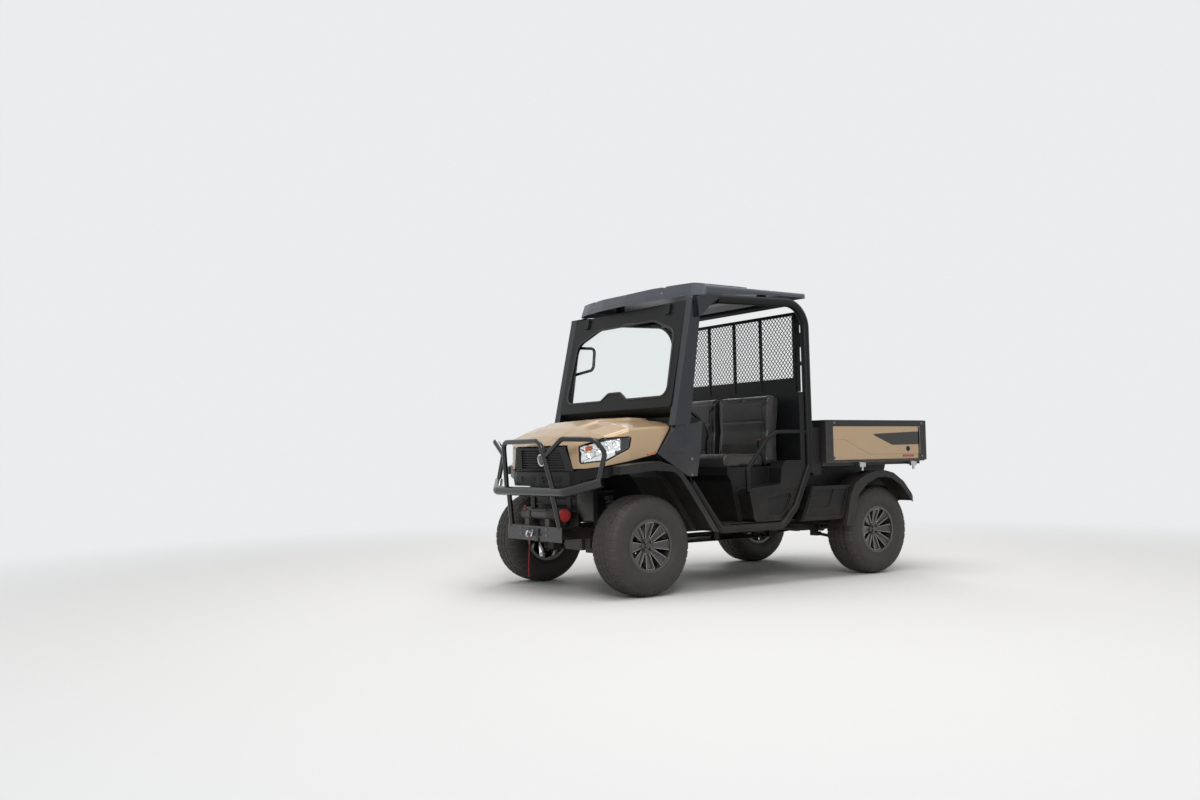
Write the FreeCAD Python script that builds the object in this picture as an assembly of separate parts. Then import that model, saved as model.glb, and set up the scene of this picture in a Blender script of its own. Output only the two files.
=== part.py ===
import FreeCAD, Part
import math
import os
from FreeCAD import Vector

# Side by side utility vehicle: two seats, windscreen, hard roof, tipping cargo bed, front guard and winch.
# Millimetres. +X is the vehicle's left, +Y its rear, +Z up. The model is laid out with y counted back from
# the front axle, and every piece is moved at the end so that the origin lies under the middle of its box.

# Driving dimensions
WHEELBASE = 2045.0
FRONT_OVERHANG = 520.0
REAR_OVERHANG = 515.0
WIDTH = 1605.0
ROOF_TOP = 2020.0
TRACK_FRONT = 1210.0
TRACK_REAR = 1254.0

# Tyres and rims
TYRE_D = 635.0
TYRE_W = 254.0
GROOVES = (-42.0, 0.0, 42.0)
GROOVE_W = 10.0
GROOVE_DEPTH = 7.0
TYRE_BEAD_R = 160.0
RIM_W = 216.0
RIM_FLANGE_R = 167.5
RIM_WALL = 8.0
RIM_HUB_R = 46.0
SPOKES = 8
SPINDLE_R = 20.0
SPINDLE_GAP = 0.05
SEAT_GAP = 0.3

# Steering
KINGPIN_X = 500.0
KINGPIN_R = 8.0
PIN_GAP = 0.05
BALL_RISE = 90.0
EYE_T = 16.0
EYE_R = 18.0
STEER_ARM = 90.0
ARM_SPREAD = 125.0
ARM_R = 11.0
BUSH_R = 16.0
BRACKET_T = 4.0
SHAFT_R = 14.0
CV_R = 26.0
CV_ROOM = 34.0
CARRIER_R = 52.0

# Ladder frame
HITCH_TOP = 10.0
RECEIVER = 50.8
HITCH_PIN_R = 8.0
BED_POST = 505.0
RAIL_X = 195.0
RAIL_W = 50.0
RAIL_Z = 350.0
RAIL_H = 70.0
RAIL_FRONT = -404.0
RAIL_REAR = WHEELBASE + 395.0
BELLY_Z = 273.0

# Cab
TUBE_D = 60.0
SILL_D = 50.0
SILL_X = 745.0
SILL_Z = 393.0
FLOOR_T = 6.0
CAB_HALF = 720.0
COWL_WALL = 40.0
PILLAR_IN = 656.5
SEAT_Z = 790.0
SEAT_HALF = 610.0
WALL_Y = 1290.0
WALL_T = 40.0
LEG_Y = 1373.0
LEG_X = 717.0
ROOF_RAIL_Z = 1895.0
RAIL_START = 575.0
FRONT_CROSS = 640.0
ROOF_HALF = 722.0
ROOF_T = 8.0

# Windscreen, leaning back
SCREEN_FOOT_Y = 232.0
SCREEN_FOOT_Z = 1188.0
SCREEN_LEAN = 12.6
SCREEN_H = 715.0
SCREEN_HALF = 655.0
SCREEN_T = 24.0
GLASS_T = 6.0

# Cargo bed, hinged at its rear
BED_HALF = 774.0
BED_FRONT = WHEELBASE - 546.0
BED_REAR = WHEELBASE + 488.0
BED_BASE = 806.0
BED_FLOOR = BED_BASE + 15.0
BED_TOP = BED_BASE + 300.0
BED_WALL = 41.0
BED_HINGE_Y = WHEELBASE + 385.0
BED_HINGE_Z = BED_BASE - 66.0
BED_PIN_R = 10.0
GATE_T = 22.0
GATE_GAP = 5.0

# Hood, hinged at its rear
HOOD_T = 6.0

# Front guard
BAR_D = 60.0
BAR_Y = -443.0
BAR_Z = 659.0
HOOP_D = 32.0

AXLE_Z = TYRE_D / 2
HALF = WIDTH / 2
LENGTH = FRONT_OVERHANG + WHEELBASE + REAR_OVERHANG
MID_Y = LENGTH / 2 - FRONT_OVERHANG
X_AXIS = Vector(1, 0, 0)
Z_AXIS = Vector(0, 0, 1)
ORIGIN = Vector(0, 0, 0)


def fuse(shapes):
    """One solid, or several that don't touch, from overlapping shapes."""
    shapes = list(shapes)
    return shapes[0].multiFuse(shapes[1:]).removeSplitter() if len(shapes) > 1 else shapes[0]


def mirrored(shape):
    """The right-hand twin of a left-hand shape."""
    return shape.mirror(ORIGIN, X_AXIS)


def both(shape):
    """A left-hand shape and its twin, apart from each other."""
    return Part.makeCompound([shape, mirrored(shape)])


def joined(shape):
    """A shape that crosses the middle, joined with its twin."""
    return fuse([shape, mirrored(shape)])


def box(x0, x1, y0, y1, z0, z1):
    return Part.makeBox(x1 - x0, y1 - y0, z1 - z0, Vector(x0, y0, z0))


def rod(start, end, radius):
    """A round bar from one point to another."""
    start, end = Vector(start), Vector(end)
    return Part.makeCylinder(radius, (end - start).Length, start, end - start)


def rounded(points, radii, closed=True):
    """A wire of straight runs with a tangent arc of the given radius at each corner."""
    n = len(points)
    starts, ends, arcs = [], [], []
    for i in range(n):
        p, r = points[i], radii[i]
        inner = closed or 0 < i < n - 1
        if r <= 0 or not inner:
            starts.append(p)
            ends.append(p)
            arcs.append(None)
            continue
        a = (points[i - 1] - p).normalize()
        b = (points[(i + 1) % n] - p).normalize()
        half = a.getAngle(b) / 2
        cut = r / math.tan(half)
        middle = p + (a + b).normalize() * (r / math.sin(half) - r)
        starts.append(p + a * cut)
        ends.append(p + b * cut)
        arcs.append(Part.Arc(p + a * cut, middle, p + b * cut).toShape())
    edges = []
    for i in range(n):
        if arcs[i]:
            edges.append(arcs[i])
        if closed or i < n - 1:
            j = (i + 1) % n
            if (starts[j] - ends[i]).Length > 1e-6:
                edges.append(Part.LineSegment(ends[i], starts[j]).toShape())
    return Part.Wire(edges)


def outline(points, plane, at=0.0, radius=0.0):
    """A closed outline on a plane: 'yz', 'xz' or 'xy'. A third number at a point is its own corner radius."""
    place = {"yz": lambda a, b: Vector(at, a, b),
             "xz": lambda a, b: Vector(a, at, b),
             "xy": lambda a, b: Vector(a, b, at)}[plane]
    corners = [place(p[0], p[1]) for p in points]
    radii = [p[2] if len(p) > 2 else radius for p in points]
    return rounded(corners, radii)


def side_prism(points, x0, x1, radius=0.0):
    """A side-view outline of (y, z), as thick as x0 to x1."""
    return Part.Face(outline(points, "yz", x0, radius)).extrude(Vector(x1 - x0, 0, 0))


def front_prism(points, y0, y1, radius=0.0):
    """A front-view outline of (x, z), as thick as y0 to y1."""
    return Part.Face(outline(points, "xz", y0, radius)).extrude(Vector(0, y1 - y0, 0))


def plan_prism(points, z0, z1, radius=0.0):
    """A plan outline of (x, y), as high as z0 to z1."""
    return Part.Face(outline(points, "xy", z0, radius)).extrude(Vector(0, 0, z1 - z0))


def tube(points, diameter, bend):
    """A round bar bent along points, with one bend radius."""
    points = [Vector(p) for p in points]
    path = rounded(points, [bend] * len(points), closed=False)
    circle = Part.makeCircle(diameter / 2, points[0], points[1] - points[0])
    return path.makePipeShell([Part.Wire(circle)], True, False)


def lofted(wires):
    """A solid with straight rulings between its section outlines."""
    return Part.makeLoft(wires, True, True)


def symmetric(points):
    """A whole outline from its left half, whose first and last points may lie on the middle line."""
    twins = [(-p[0],) + tuple(p[1:]) for p in reversed(points) if p[0] != 0]
    return list(points) + twins


# Wheels

def tyre(centre_x):
    """Tyre with a crowned tread and round shoulders, revolved about the axle."""
    r, w = TYRE_D / 2, TYRE_W / 2
    bead = w - 24
    side = [(bead, TYRE_BEAD_R), (w, TYRE_BEAD_R + 72), (w - 22, r - 20), (w - 46, r - 5), (0, r)]
    pts = [Vector(x, 0, z) for x, z in side]
    left = [Vector(-p.x, 0, p.z) for p in pts]
    edges = [Part.Arc(pts[0], pts[1], pts[2]).toShape(),
             Part.LineSegment(pts[2], pts[3]).toShape(),
             Part.Arc(pts[3], pts[4], left[3]).toShape(),
             Part.LineSegment(left[3], left[2]).toShape(),
             Part.Arc(left[2], left[1], left[0]).toShape(),
             Part.LineSegment(left[0], pts[0]).toShape()]
    ring = Part.Face(Part.Wire(edges)).revolve(ORIGIN, X_AXIS, 360)
    for side in (-1, 1):
        ring = ring.cut(rod((side * (bead + 0.7), 0, 0), (side * w, 0, 0), RIM_FLANGE_R + SEAT_GAP))
    for x in GROOVES:
        groove = rod((x - GROOVE_W / 2, 0, 0), (x + GROOVE_W / 2, 0, 0), r + 5)
        ring = ring.cut(groove.cut(rod((x - GROOVE_W, 0, 0), (x + GROOVE_W, 0, 0), r - GROOVE_DEPTH)))
    return ring.translate(Vector(centre_x, 0, AXLE_Z))


def rim():
    """Alloy rim for the left side, at the origin: barrel, eight twin spokes and a hub with its bore."""
    w, f = RIM_W / 2, RIM_FLANGE_R
    seat = TYRE_BEAD_R - 0.3
    bead = TYRE_W / 2 - 24
    inner = seat - RIM_WALL - 6
    profile = [(-w, inner + 2), (-w, f), (-bead - 1, f), (-bead - 1, seat), (bead + 1, seat),
               (bead + 1, f), (w, f), (w, inner + 2), (w - 14, inner), (14 - w, inner)]
    barrel = Part.Face(outline(profile, "xz")).revolve(ORIGIN, X_AXIS, 360)
    face = w - 36
    hub = rod((-30, 0, 0), (face, 0, 0), RIM_HUB_R)
    spokes = []
    for i in range(SPOKES):
        for lean in (-1, 1):
            root = [(face - 4, lean * 8 - 7), (face - 4, lean * 8 + 7), (face - 34, lean * 8 + 7),
                    (face - 34, lean * 8 - 7)]
            tip = [(w - 8, lean * 26 - 8), (w - 8, lean * 26 + 8), (w - 44, lean * 26 + 8),
                   (w - 44, lean * 26 - 8)]
            spoke = lofted([outline(root, "xy", RIM_HUB_R - 8), outline(tip, "xy", inner + 3)])
            spokes.append(spoke.rotate(ORIGIN, X_AXIS, 360.0 / SPOKES * i))
    wheel = fuse([barrel, hub] + spokes)
    return wheel.cut(rod((-31, 0, 0), (face - 8, 0, 0), SPINDLE_R + SPINDLE_GAP))


def placed_rim(centre_x, y):
    left = rim()
    if centre_x < 0:
        left = mirrored(left)
    return left.translate(Vector(centre_x, y, AXLE_Z))


def spindle(centre_x):
    """Fixed stub that the wheel turns on."""
    return rod((KINGPIN_X + CV_ROOM + 6, 0, AXLE_Z), (centre_x + RIM_W / 2 - 46, 0, AXLE_Z), SPINDLE_R)


def knuckle():
    """Left front knuckle: carrier round the drive joint, forked kingpin, steering arm and wheel spindle."""
    k, z = KINGPIN_X, AXLE_Z
    carrier = rod((k - 22, 0, z), (k + CV_ROOM + 10, 0, z), CARRIER_R)
    boss = BALL_RISE - EYE_T / 2 - SEAT_GAP
    fork = [box(k - 14, k + 14, -22, 22, z + 40, z + boss), box(k - 14, k + 14, -22, 22, z - boss, z - 40)]
    pins = [rod((k, 0, z + boss - 4), (k, 0, z + BALL_RISE + EYE_T / 2 + 4), KINGPIN_R),
            rod((k, 0, z - boss + 4), (k, 0, z - BALL_RISE - EYE_T / 2 - 4), KINGPIN_R)]
    arm = box(k - 14, k + 14, 30, STEER_ARM, z - 8, z + 8)
    arm_end = rod((k, STEER_ARM, z - 8), (k, STEER_ARM, z + 8), 14)
    body = fuse([carrier, spindle(TRACK_FRONT / 2), arm, arm_end] + fork + pins)
    room = fuse([rod((k - 23, 0, z), (k, 0, z), CV_ROOM), Part.makeSphere(CV_ROOM, Vector(k, 0, z))])
    return body.cut(room)


def rear_hubs():
    """Rear uprights with their spindles; they carry the arms' outer ends."""
    y, z, k = WHEELBASE, AXLE_Z, KINGPIN_X + 20
    plate = box(k - 14, k + 20, y - 30, y + 30, z - BALL_RISE - 14, z + BALL_RISE + 14)
    carrier = rod((k - 16, y, z), (k + 30, y, z), CARRIER_R)
    stub = rod((k + 10, y, z), (TRACK_REAR / 2 + RIM_W / 2 - 46, y, z), SPINDLE_R)
    return both(fuse([plate, carrier, stub]))


def arm_pair(y, outer_x, eye, upper_in, lower_in):
    """Upper and lower wishbones of one left corner; an eye at the kingpin, or a plain end at an upright."""
    parts = []
    for rise, inner in ((BALL_RISE, upper_in), (-BALL_RISE, lower_in)):
        z = AXLE_Z + rise
        x_in, z_in = inner
        for side in (-1, 1):
            pivot_y = y + side * ARM_SPREAD
            parts.append(rod((outer_x - 38, y + side * 8, z), (x_in, pivot_y, z_in), ARM_R))
            parts.append(rod((x_in, pivot_y - 18, z_in), (x_in, pivot_y + 18, z_in), BUSH_R))
        parts.append(box(outer_x - 48, outer_x, y - EYE_R, y + EYE_R, z - EYE_T / 2, z + EYE_T / 2))
        parts.append(rod((outer_x, y, z - EYE_T / 2), (outer_x, y, z + EYE_T / 2), EYE_R))
    parts.append(box(SHOCK_FOOT_X - 16, SHOCK_FOOT_X + 16, y - 62, y + 62, SHOCK_SEAT_Z - 12, SHOCK_SEAT_Z))
    body = fuse(parts)
    if eye:
        body = body.cut(rod((outer_x, y, 0), (outer_x, y, AXLE_Z * 2), KINGPIN_R + PIN_GAP))
    return body


def suspension_arms():
    """Double wishbones at all four corners."""
    pivot_x = RAIL_X + RAIL_W + BRACKET_T + BUSH_R + SEAT_GAP
    upper_in = (pivot_x, 400)
    lower_in = (pivot_x, 272)
    front = arm_pair(0, KINGPIN_X, True, upper_in, lower_in)
    rear = arm_pair(WHEELBASE, KINGPIN_X + 6 - EYE_R - SEAT_GAP, False, upper_in, lower_in)
    return Part.makeCompound([front, mirrored(front), rear, mirrored(rear)])


SHOCK_FOOT_X = 400.0
SHOCK_SEAT_Z = 258.0
SHOCK_TOP_X = 305.0
SHOCK_TOP_FRONT = 640.0
SHOCK_TOP_REAR = 660.0
SHOCK_Y = -31.0


def shock(y, foot_x, foot_z, top_x, top_z):
    """Coil-over damper: rod, body, and a spring drawn as its outer sleeve."""
    foot, top = Vector(foot_x, y, foot_z), Vector(top_x, y, top_z)
    along = (top - foot).normalize()
    length = (top - foot).Length
    damper = rod(foot, foot + along * (length * 0.6), 14)
    stem = rod(foot + along * (length * 0.5), top, 8)
    spring = rod(foot + along * (length * 0.52), foot + along * (length * 0.95), 30)
    return fuse([damper, stem, spring])


def shock_absorbers():
    foot = SHOCK_SEAT_Z + SEAT_GAP + 3.7
    front = shock(SHOCK_Y, SHOCK_FOOT_X, foot, SHOCK_TOP_X, SHOCK_TOP_FRONT)
    rear = shock(WHEELBASE + SHOCK_Y, SHOCK_FOOT_X, foot, SHOCK_TOP_X, SHOCK_TOP_REAR)
    return Part.makeCompound([front, mirrored(front), rear, mirrored(rear)])


def driveline():
    """Rear transaxle, front gear case, propeller shaft and four half shafts with ball joints."""
    z = AXLE_Z
    y = WHEELBASE
    transaxle = box(-140, 140, y - 165, y + 135, 290, AXLE_Z + 152)
    case = box(-100, 100, -110, 60, 262, 385)
    prop = rod((0, 50, 297), (0, y - 145, 310), 16)
    front = [rod((90, 0, z), (KINGPIN_X, 0, z), SHAFT_R), Part.makeSphere(CV_R, Vector(KINGPIN_X, 0, z)),
             rod((95, 0, z), (160, 0, z), 36)]
    rear = [rod((130, y, z), (KINGPIN_X + 4, y, z), SHAFT_R), rod((135, y, z), (185, y, z), 36),
            rod((420, y, z), (KINGPIN_X + 4, y, z), 34)]
    sides = front + rear
    return fuse([transaxle, case, prop] + sides + [mirrored(s) for s in sides])


# Frame and power

def frame():
    """Ladder frame: rails, cross-members, arm and shock brackets, bed posts and belly plate."""
    x0, x1 = RAIL_X, RAIL_X + RAIL_W
    z0, z1 = RAIL_Z, RAIL_Z + RAIL_H
    half = [box(x0, x1, RAIL_FRONT, RAIL_REAR, z0, z1)]
    for y in (0, WHEELBASE):
        for side in (-1, 1):
            lug_y = y + side * ARM_SPREAD
            half.append(box(x0, x1 + BRACKET_T, lug_y - 18, lug_y + 18, 256, z0 + 5))
            half.append(box(x1 - 5, x1 + BRACKET_T, lug_y - 18, lug_y + 18, 384, 416))
        top = (SHOCK_TOP_FRONT if y == 0 else SHOCK_TOP_REAR) + 2.3
        half.append(box(x0, x1 - 5, y - 76, y + 4, z1 - 5, top + 18))
        half.append(box(x1 - 6, SHOCK_TOP_X + 25, y - 76, y + 4, top, top + 18))
    # posts under the bed's long members, and uprights for its hinge pin
    post_y = WHEELBASE - BED_POST
    half.append(box(x0 + 5, x1 - 5, post_y, post_y + 40, z1 - 5, BED_BASE - 51))
    half.append(box(x0 + 5, x1 + 40, post_y, post_y + 40, BED_BASE - 51, BED_BASE - 36.3))
    half.append(box(x0 + 5, x1 - 5, BED_HINGE_Y - 34, BED_HINGE_Y + 30, z1 - 5, BED_HINGE_Z + 24))
    # outriggers to the sill tubes
    for y in (620, 1060):
        half.append(box(x1 - 5, SILL_X - SILL_D / 2 - SEAT_GAP, y - 20, y + 20, SILL_Z - 18, z1))
    # pads beside the engine block
    for y in (ENGINE_Y + 78, ENGINE_Y + 328):
        half.append(box(ENGINE_HALF + SEAT_GAP, x0 + 1, y - 30, y + 30, 380, 410))
    # pads beside the gear cases, and uprights under the nose panel
    half.append(box(100 + SEAT_GAP, x0 + 1, -60, -20, 358, 378))
    half.append(box(140 + SEAT_GAP, x0 + 1, WHEELBASE - 55, WHEELBASE - 15, 380, 410))
    half.append(box(x0 + 5, x1 - 5, -285, -255, z1 - 5, 690 - SEAT_GAP))
    # hangers of the belly plate
    for y in (420, 940, 1460):
        half.append(box(x0 + 5, x1 - 5, y - 20, y + 20, BELLY_Z + 2, z0 + 5))
    parts = half + [mirrored(s) for s in half]
    for y in (RAIL_FRONT + 20, 380, 900, 1385, WHEELBASE + 185, RAIL_REAR - 20):
        parts.append(box(-x0 - 5, x0 + 5, y - 20, y + 20, z0 + 10, z1 - 5))
    parts.append(box(-x1, x1, 360, 1500, BELLY_Z, BELLY_Z + 5))
    # rear bumper cross tube
    parts.append(box(-560, 560, RAIL_REAR - 6, RAIL_REAR + 34, z0 + HITCH_TOP, z1 - 10))
    body = fuse(parts)
    pin = rod((x0, BED_HINGE_Y, BED_HINGE_Z), (x1, BED_HINGE_Y, BED_HINGE_Z), BED_PIN_R + PIN_GAP)
    lift = lift_frame_bracket()
    body = fuse([body, lift])
    return body.cut(pin).cut(mirrored(pin))


def hitch_receiver():
    """Square tow bar receiver, welded under the rear cross-member and the rear cross tube."""
    z0, y1 = RAIL_Z, RAIL_REAR + 70
    body = box(-38, 38, RAIL_REAR - 160, y1, z0 - 66, z0 + HITCH_TOP)
    body = body.cut(box(-RECEIVER / 2, RECEIVER / 2, RAIL_REAR - 100, y1 + 1, z0 - 1.2 - RECEIVER, z0 - 1.2))
    pin_y, pin_z = RAIL_REAR + 38, z0 - 1.2 - RECEIVER / 2
    return body.cut(rod((-60, pin_y, pin_z), (60, pin_y, pin_z), HITCH_PIN_R))


LIFT_X = -325.0
LIFT_FOOT_Y = WHEELBASE + 180.0
LIFT_FOOT_Z = 440.0
LIFT_EYE_Y = WHEELBASE + 230.0
LIFT_EYE_Z = BED_BASE - 31.0
LIFT_PIN_R = 10.0
CYLINDER_R = 28.0
LIFT_ROD_R = 14.0


def lift_frame_bracket():
    """Cylinder foot: a stub pin carried from the right-hand rail."""
    y, z = LIFT_FOOT_Y, LIFT_FOOT_Z
    plate = box(-RAIL_X - RAIL_W - 30, -RAIL_X - 5, y - 30, y + 30, z - 60, z + 25)
    pin = rod((-RAIL_X - RAIL_W, y, z), (LIFT_X - 16, y, z), LIFT_PIN_R)
    return fuse([plate, pin])


def lift_ends():
    foot = Vector(LIFT_X, LIFT_FOOT_Y, LIFT_FOOT_Z)
    eye = Vector(LIFT_X, LIFT_EYE_Y, LIFT_EYE_Z)
    return foot, eye, (eye - foot).normalize()


def lift_cylinder():
    """Hydraulic cylinder body with a foot eye, open at its top for the rod."""
    foot, eye, along = lift_ends()
    length = (eye - foot).Length - 60
    body = rod(foot + along * 18, foot + along * length, CYLINDER_R)
    ring = rod(foot - X_AXIS * 14, foot + X_AXIS * 14, 22)
    hole = rod(foot - X_AXIS * 15, foot + X_AXIS * 15, LIFT_PIN_R + PIN_GAP)
    bore = rod(foot + along * 40, foot + along * (length + 1), LIFT_ROD_R + PIN_GAP)
    return fuse([body, ring]).cut(hole).cut(bore)


def lift_rod():
    """Rod with its eye, open towards the bed's pin."""
    foot, eye, along = lift_ends()
    stem = rod(foot + along * 44, eye - along * 14, LIFT_ROD_R)
    ring = rod(eye - X_AXIS * 12, eye + X_AXIS * 12, 22)
    hole = rod(eye - X_AXIS * 13, eye + X_AXIS * 13, LIFT_PIN_R + 1)
    return fuse([stem, ring]).cut(hole)


ENGINE_HALF = 180.0
ENGINE_L = 420.0
ENGINE_Y = WHEELBASE - 613.0


def engine_block():
    """Diesel engine as one plain block, with its silencer beside it."""
    y0, y1 = ENGINE_Y, ENGINE_Y + ENGINE_L
    block = box(-ENGINE_HALF, ENGINE_HALF, y0, y1, 340, 730)
    muffler = rod((246, y1 - 242, 590), (246, y1 - 2, 590), 58)
    bracket = box(170, 200, y1 - 172, y1 - 92, 575, 605)
    return fuse([block, muffler, bracket])


# Cab

FLOOR_Z = RAIL_Z + RAIL_H
FLOOR_TOP = FLOOR_Z + FLOOR_T
FIREWALL_Y = 330.0


def floor_pan():
    """Floor, toe board and firewall as one pressed panel."""
    y = FIREWALL_Y
    side = [(566, FLOOR_Z), (600, FLOOR_Z), (600, FLOOR_TOP), (570, FLOOR_TOP), (436, 566), (y, 790), (y, 1040),
            (y - FLOOR_T, 1040), (y - FLOOR_T, 788), (430, 562)]
    half = CAB_HALF - COWL_WALL - SEAT_GAP
    front = side_prism(side, -half, half)
    floor_half = SILL_X - SILL_D / 2 - 3
    rear = box(-699.7, 699.7, 1230, WALL_Y + WALL_T, FLOOR_Z, FLOOR_TOP)
    return fuse([front, box(-floor_half, floor_half, 590, 1245, FLOOR_Z, FLOOR_TOP), rear])


def dash():
    """Dashboard across the cab, with the steering column and its shroud."""
    y0 = FIREWALL_Y + SEAT_GAP
    side = [(y0, 880), (y0, 1112), (380, 1128), (470, 1090), (500, 1010), (470, 900, 20)]
    shelf = side_prism(side, -676, 676, 10)
    pocket = box(-560, -120, 430, 520, 900, 980)
    top, along = column_line()
    shroud = rod(top - along * 240, top - along * 46, 42)
    column = rod(top - along * 400, top - along * (34 + SEAT_GAP), 20)
    body = fuse([shelf.cut(pocket), shroud, column])
    return body.cut(box(-700, 700, 200, FIREWALL_Y + SEAT_GAP, 700, 1200))


WHEEL_X = 360.0
WHEEL_Y = 590.0
WHEEL_Z = 1085.0
WHEEL_RAKE = 40.0
WHEEL_D = 360.0


def column_line():
    """Middle of the steering wheel, and the direction of its column towards the driver."""
    a = math.radians(WHEEL_RAKE)
    return Vector(WHEEL_X, WHEEL_Y, WHEEL_Z), Vector(0, math.cos(a), math.sin(a))


def steering_wheel():
    """Rim ring, three spokes and a hub, turned on the column."""
    centre, along = column_line()
    ring = Part.makeTorus(WHEEL_D / 2 - 13, 13, ORIGIN, Z_AXIS)
    hub = rod((0, 0, -34), (0, 0, 6), 34)
    spokes = []
    for angle in (0, 120, 240):
        bar = box(20, WHEEL_D / 2 - 14, -14, 14, -12, -2)
        spokes.append(bar.rotate(ORIGIN, Z_AXIS, angle - 90))
    wheel = fuse([ring, hub] + spokes)
    wheel.rotate(ORIGIN, X_AXIS, WHEEL_RAKE - 90)
    return wheel.translate(centre)


RACK_R = 9.0
RACK_Z = AXLE_Z + 17.5


def steering_rack():
    """Rack bar with tie rods; each end floats just over its steering arm."""
    y, z = STEER_ARM, RACK_Z
    bar = rod((-230, y, z), (230, y, z), RACK_R)
    end_z = AXLE_Z + 8.5
    tie = [rod((220, y, z), (KINGPIN_X, y, z), 7), rod((KINGPIN_X, y, end_z), (KINGPIN_X, y, z + 9), 12)]
    return fuse([bar] + tie + [mirrored(s) for s in tie])


def rack_box():
    """Housing that the rack slides in, hung between the rails."""
    y, z = STEER_ARM, RACK_Z
    house = box(-150, 150, y - 16, y + 34, z - 17, z + 26)
    hanger = box(-RAIL_X - 1, RAIL_X + 1, y + 10, y + 34, z + 16, z + 32)
    return fuse([house, hanger]).cut(rod((-151, y, z), (151, y, z), RACK_R + PIN_GAP))


POD_HALF = 738.0
POD_SIDE = [(1092, 669, 20), (1104, 778, 20), (1142, 829, 30), (1289, 829, 10), (1285, 640), (1215, 514),
            (1128, 435, 60), (1048, 416), (908, 412, 40), (848, 436, 30), (804, 647, 30)]


def seat_pod():
    return side_prism(POD_SIDE, SEAT_HALF - 10, POD_HALF)


def rops_leg(diameter):
    """Roof rail bent down into the rear leg, left side."""
    line = [(LEG_X, RAIL_START, ROOF_RAIL_Z + 3), (LEG_X, LEG_Y, ROOF_RAIL_Z + 24), (LEG_X + 12, LEG_Y, 740)]
    return tube(line, diameter, 170)


def sill_tube(diameter):
    """Tube under the door opening, rising at both ends."""
    return tube([(SILL_X, 305, 701), (SILL_X, 540, SILL_Z), (SILL_X, 1090, SILL_Z), (SILL_X, 1212, 510),
                 (SILL_X - 14, LEG_Y, 800)], diameter, 80)


def seat_base():
    """Seat box with the moulded storage pods at its ends."""
    z = FLOOR_TOP
    box_side = [(820, z), (1286, z), (1286, SEAT_Z), (730, SEAT_Z), (730, 740), (760, 700)]
    base = side_prism(box_side, -SEAT_HALF, SEAT_HALF)
    hollow = [(850, z - 1), (1256, z - 1), (1256, SEAT_Z - 30), (790, SEAT_Z - 30), (790, 716)]
    cavity = side_prism(hollow, -580, 580)
    pod = seat_pod().cut(box(500, SEAT_HALF + 1, 700, 1400, SEAT_Z, 900)).cut(sill_tube(SILL_D + 2 * SEAT_GAP))
    step = side_prism([(897, 612, 20), (1248, 652, 20), (1180, 516, 20), (1112, 436, 20), (934, 428, 20)],
                      POD_HALF - 5, POD_HALF + 1)
    recess = side_prism([(965, 583, 20), (1205, 610, 20), (1160, 516, 20), (1096, 458, 20), (979, 458, 20)],
                        POD_HALF - 20, POD_HALF + 1)
    pod = pod.cut(step).cut(recess).cut(box(0, 800, 700, 1400, 300, FLOOR_TOP))
    return fuse([base.cut(cavity), pod, mirrored(pod)])


def seat_cushions():
    """Two separate seat pads on the seat box."""
    pads = []
    for x0, x1 in ((70, SEAT_HALF), (-SEAT_HALF, 50)):
        pads.append(side_prism([(690, 791, 30), (1088, 791, 10), (1088, 868, 30), (690, 883, 40)], x0, x1)
                    .translate(Vector(0, 0, SEAT_Z - 790.7)))
    return Part.makeCompound(pads)


def seat_backs():
    pads = []
    for x0, x1 in ((70, SEAT_HALF), (-SEAT_HALF, 50)):
        pads.append(side_prism([(1095, SEAT_Z + 0.3, 10), (1200, SEAT_Z + 0.3, 10), (1234, 1290, 40),
                                (1120, 1308, 40)], x0, x1))
    return Part.makeCompound(pads)


HIP_X = POD_HALF - 16
HIP_Z = 1026.0
HIP_D = 30.0


def rear_wall():
    """Bulkhead behind the seats, with wings out to the legs and the capped box columns behind them."""
    z = FLOOR_TOP
    wall = box(-672, 672, WALL_Y, WALL_Y + WALL_T, z, 1300)
    column = box(640, 735, LEG_Y + TUBE_D / 2 + 4, 1482, 725, 1052)
    link = box(640, 672, WALL_Y + WALL_T - 5, LEG_Y + TUBE_D / 2 + 6, 760, 1020)
    wing = box(640, 735, WALL_Y, WALL_Y + WALL_T, 655, 1300)
    wing = wing.cut(sill_tube(SILL_D + 2 * SEAT_GAP))
    wing = wing.cut(rod((HIP_X, WALL_Y - 1, HIP_Z), (HIP_X, WALL_Y + WALL_T + 1, HIP_Z), HIP_D / 2 + 1))
    knob = rod((690, LEG_Y + 62, 1050), (690, LEG_Y + 62, 1082), 26)
    half = [column, link, wing, knob]
    return fuse([wall] + half + [mirrored(s) for s in half])


def hip_guards():
    """Bent side bars beside the seats, from the rear leg to the storage pod."""
    x, z = HIP_X, HIP_Z
    bar = tube([(x, LEG_Y - 12, z), (x, 1076, z - 2), (x, 995, 980), (x, 806, 773), (x, 812, 630)], HIP_D, 45)
    bar = bar.cut(rops_leg(TUBE_D + 2 * SEAT_GAP)).cut(seat_pod().translate(Vector(0, 0, SEAT_GAP)))
    return both(bar)


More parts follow.
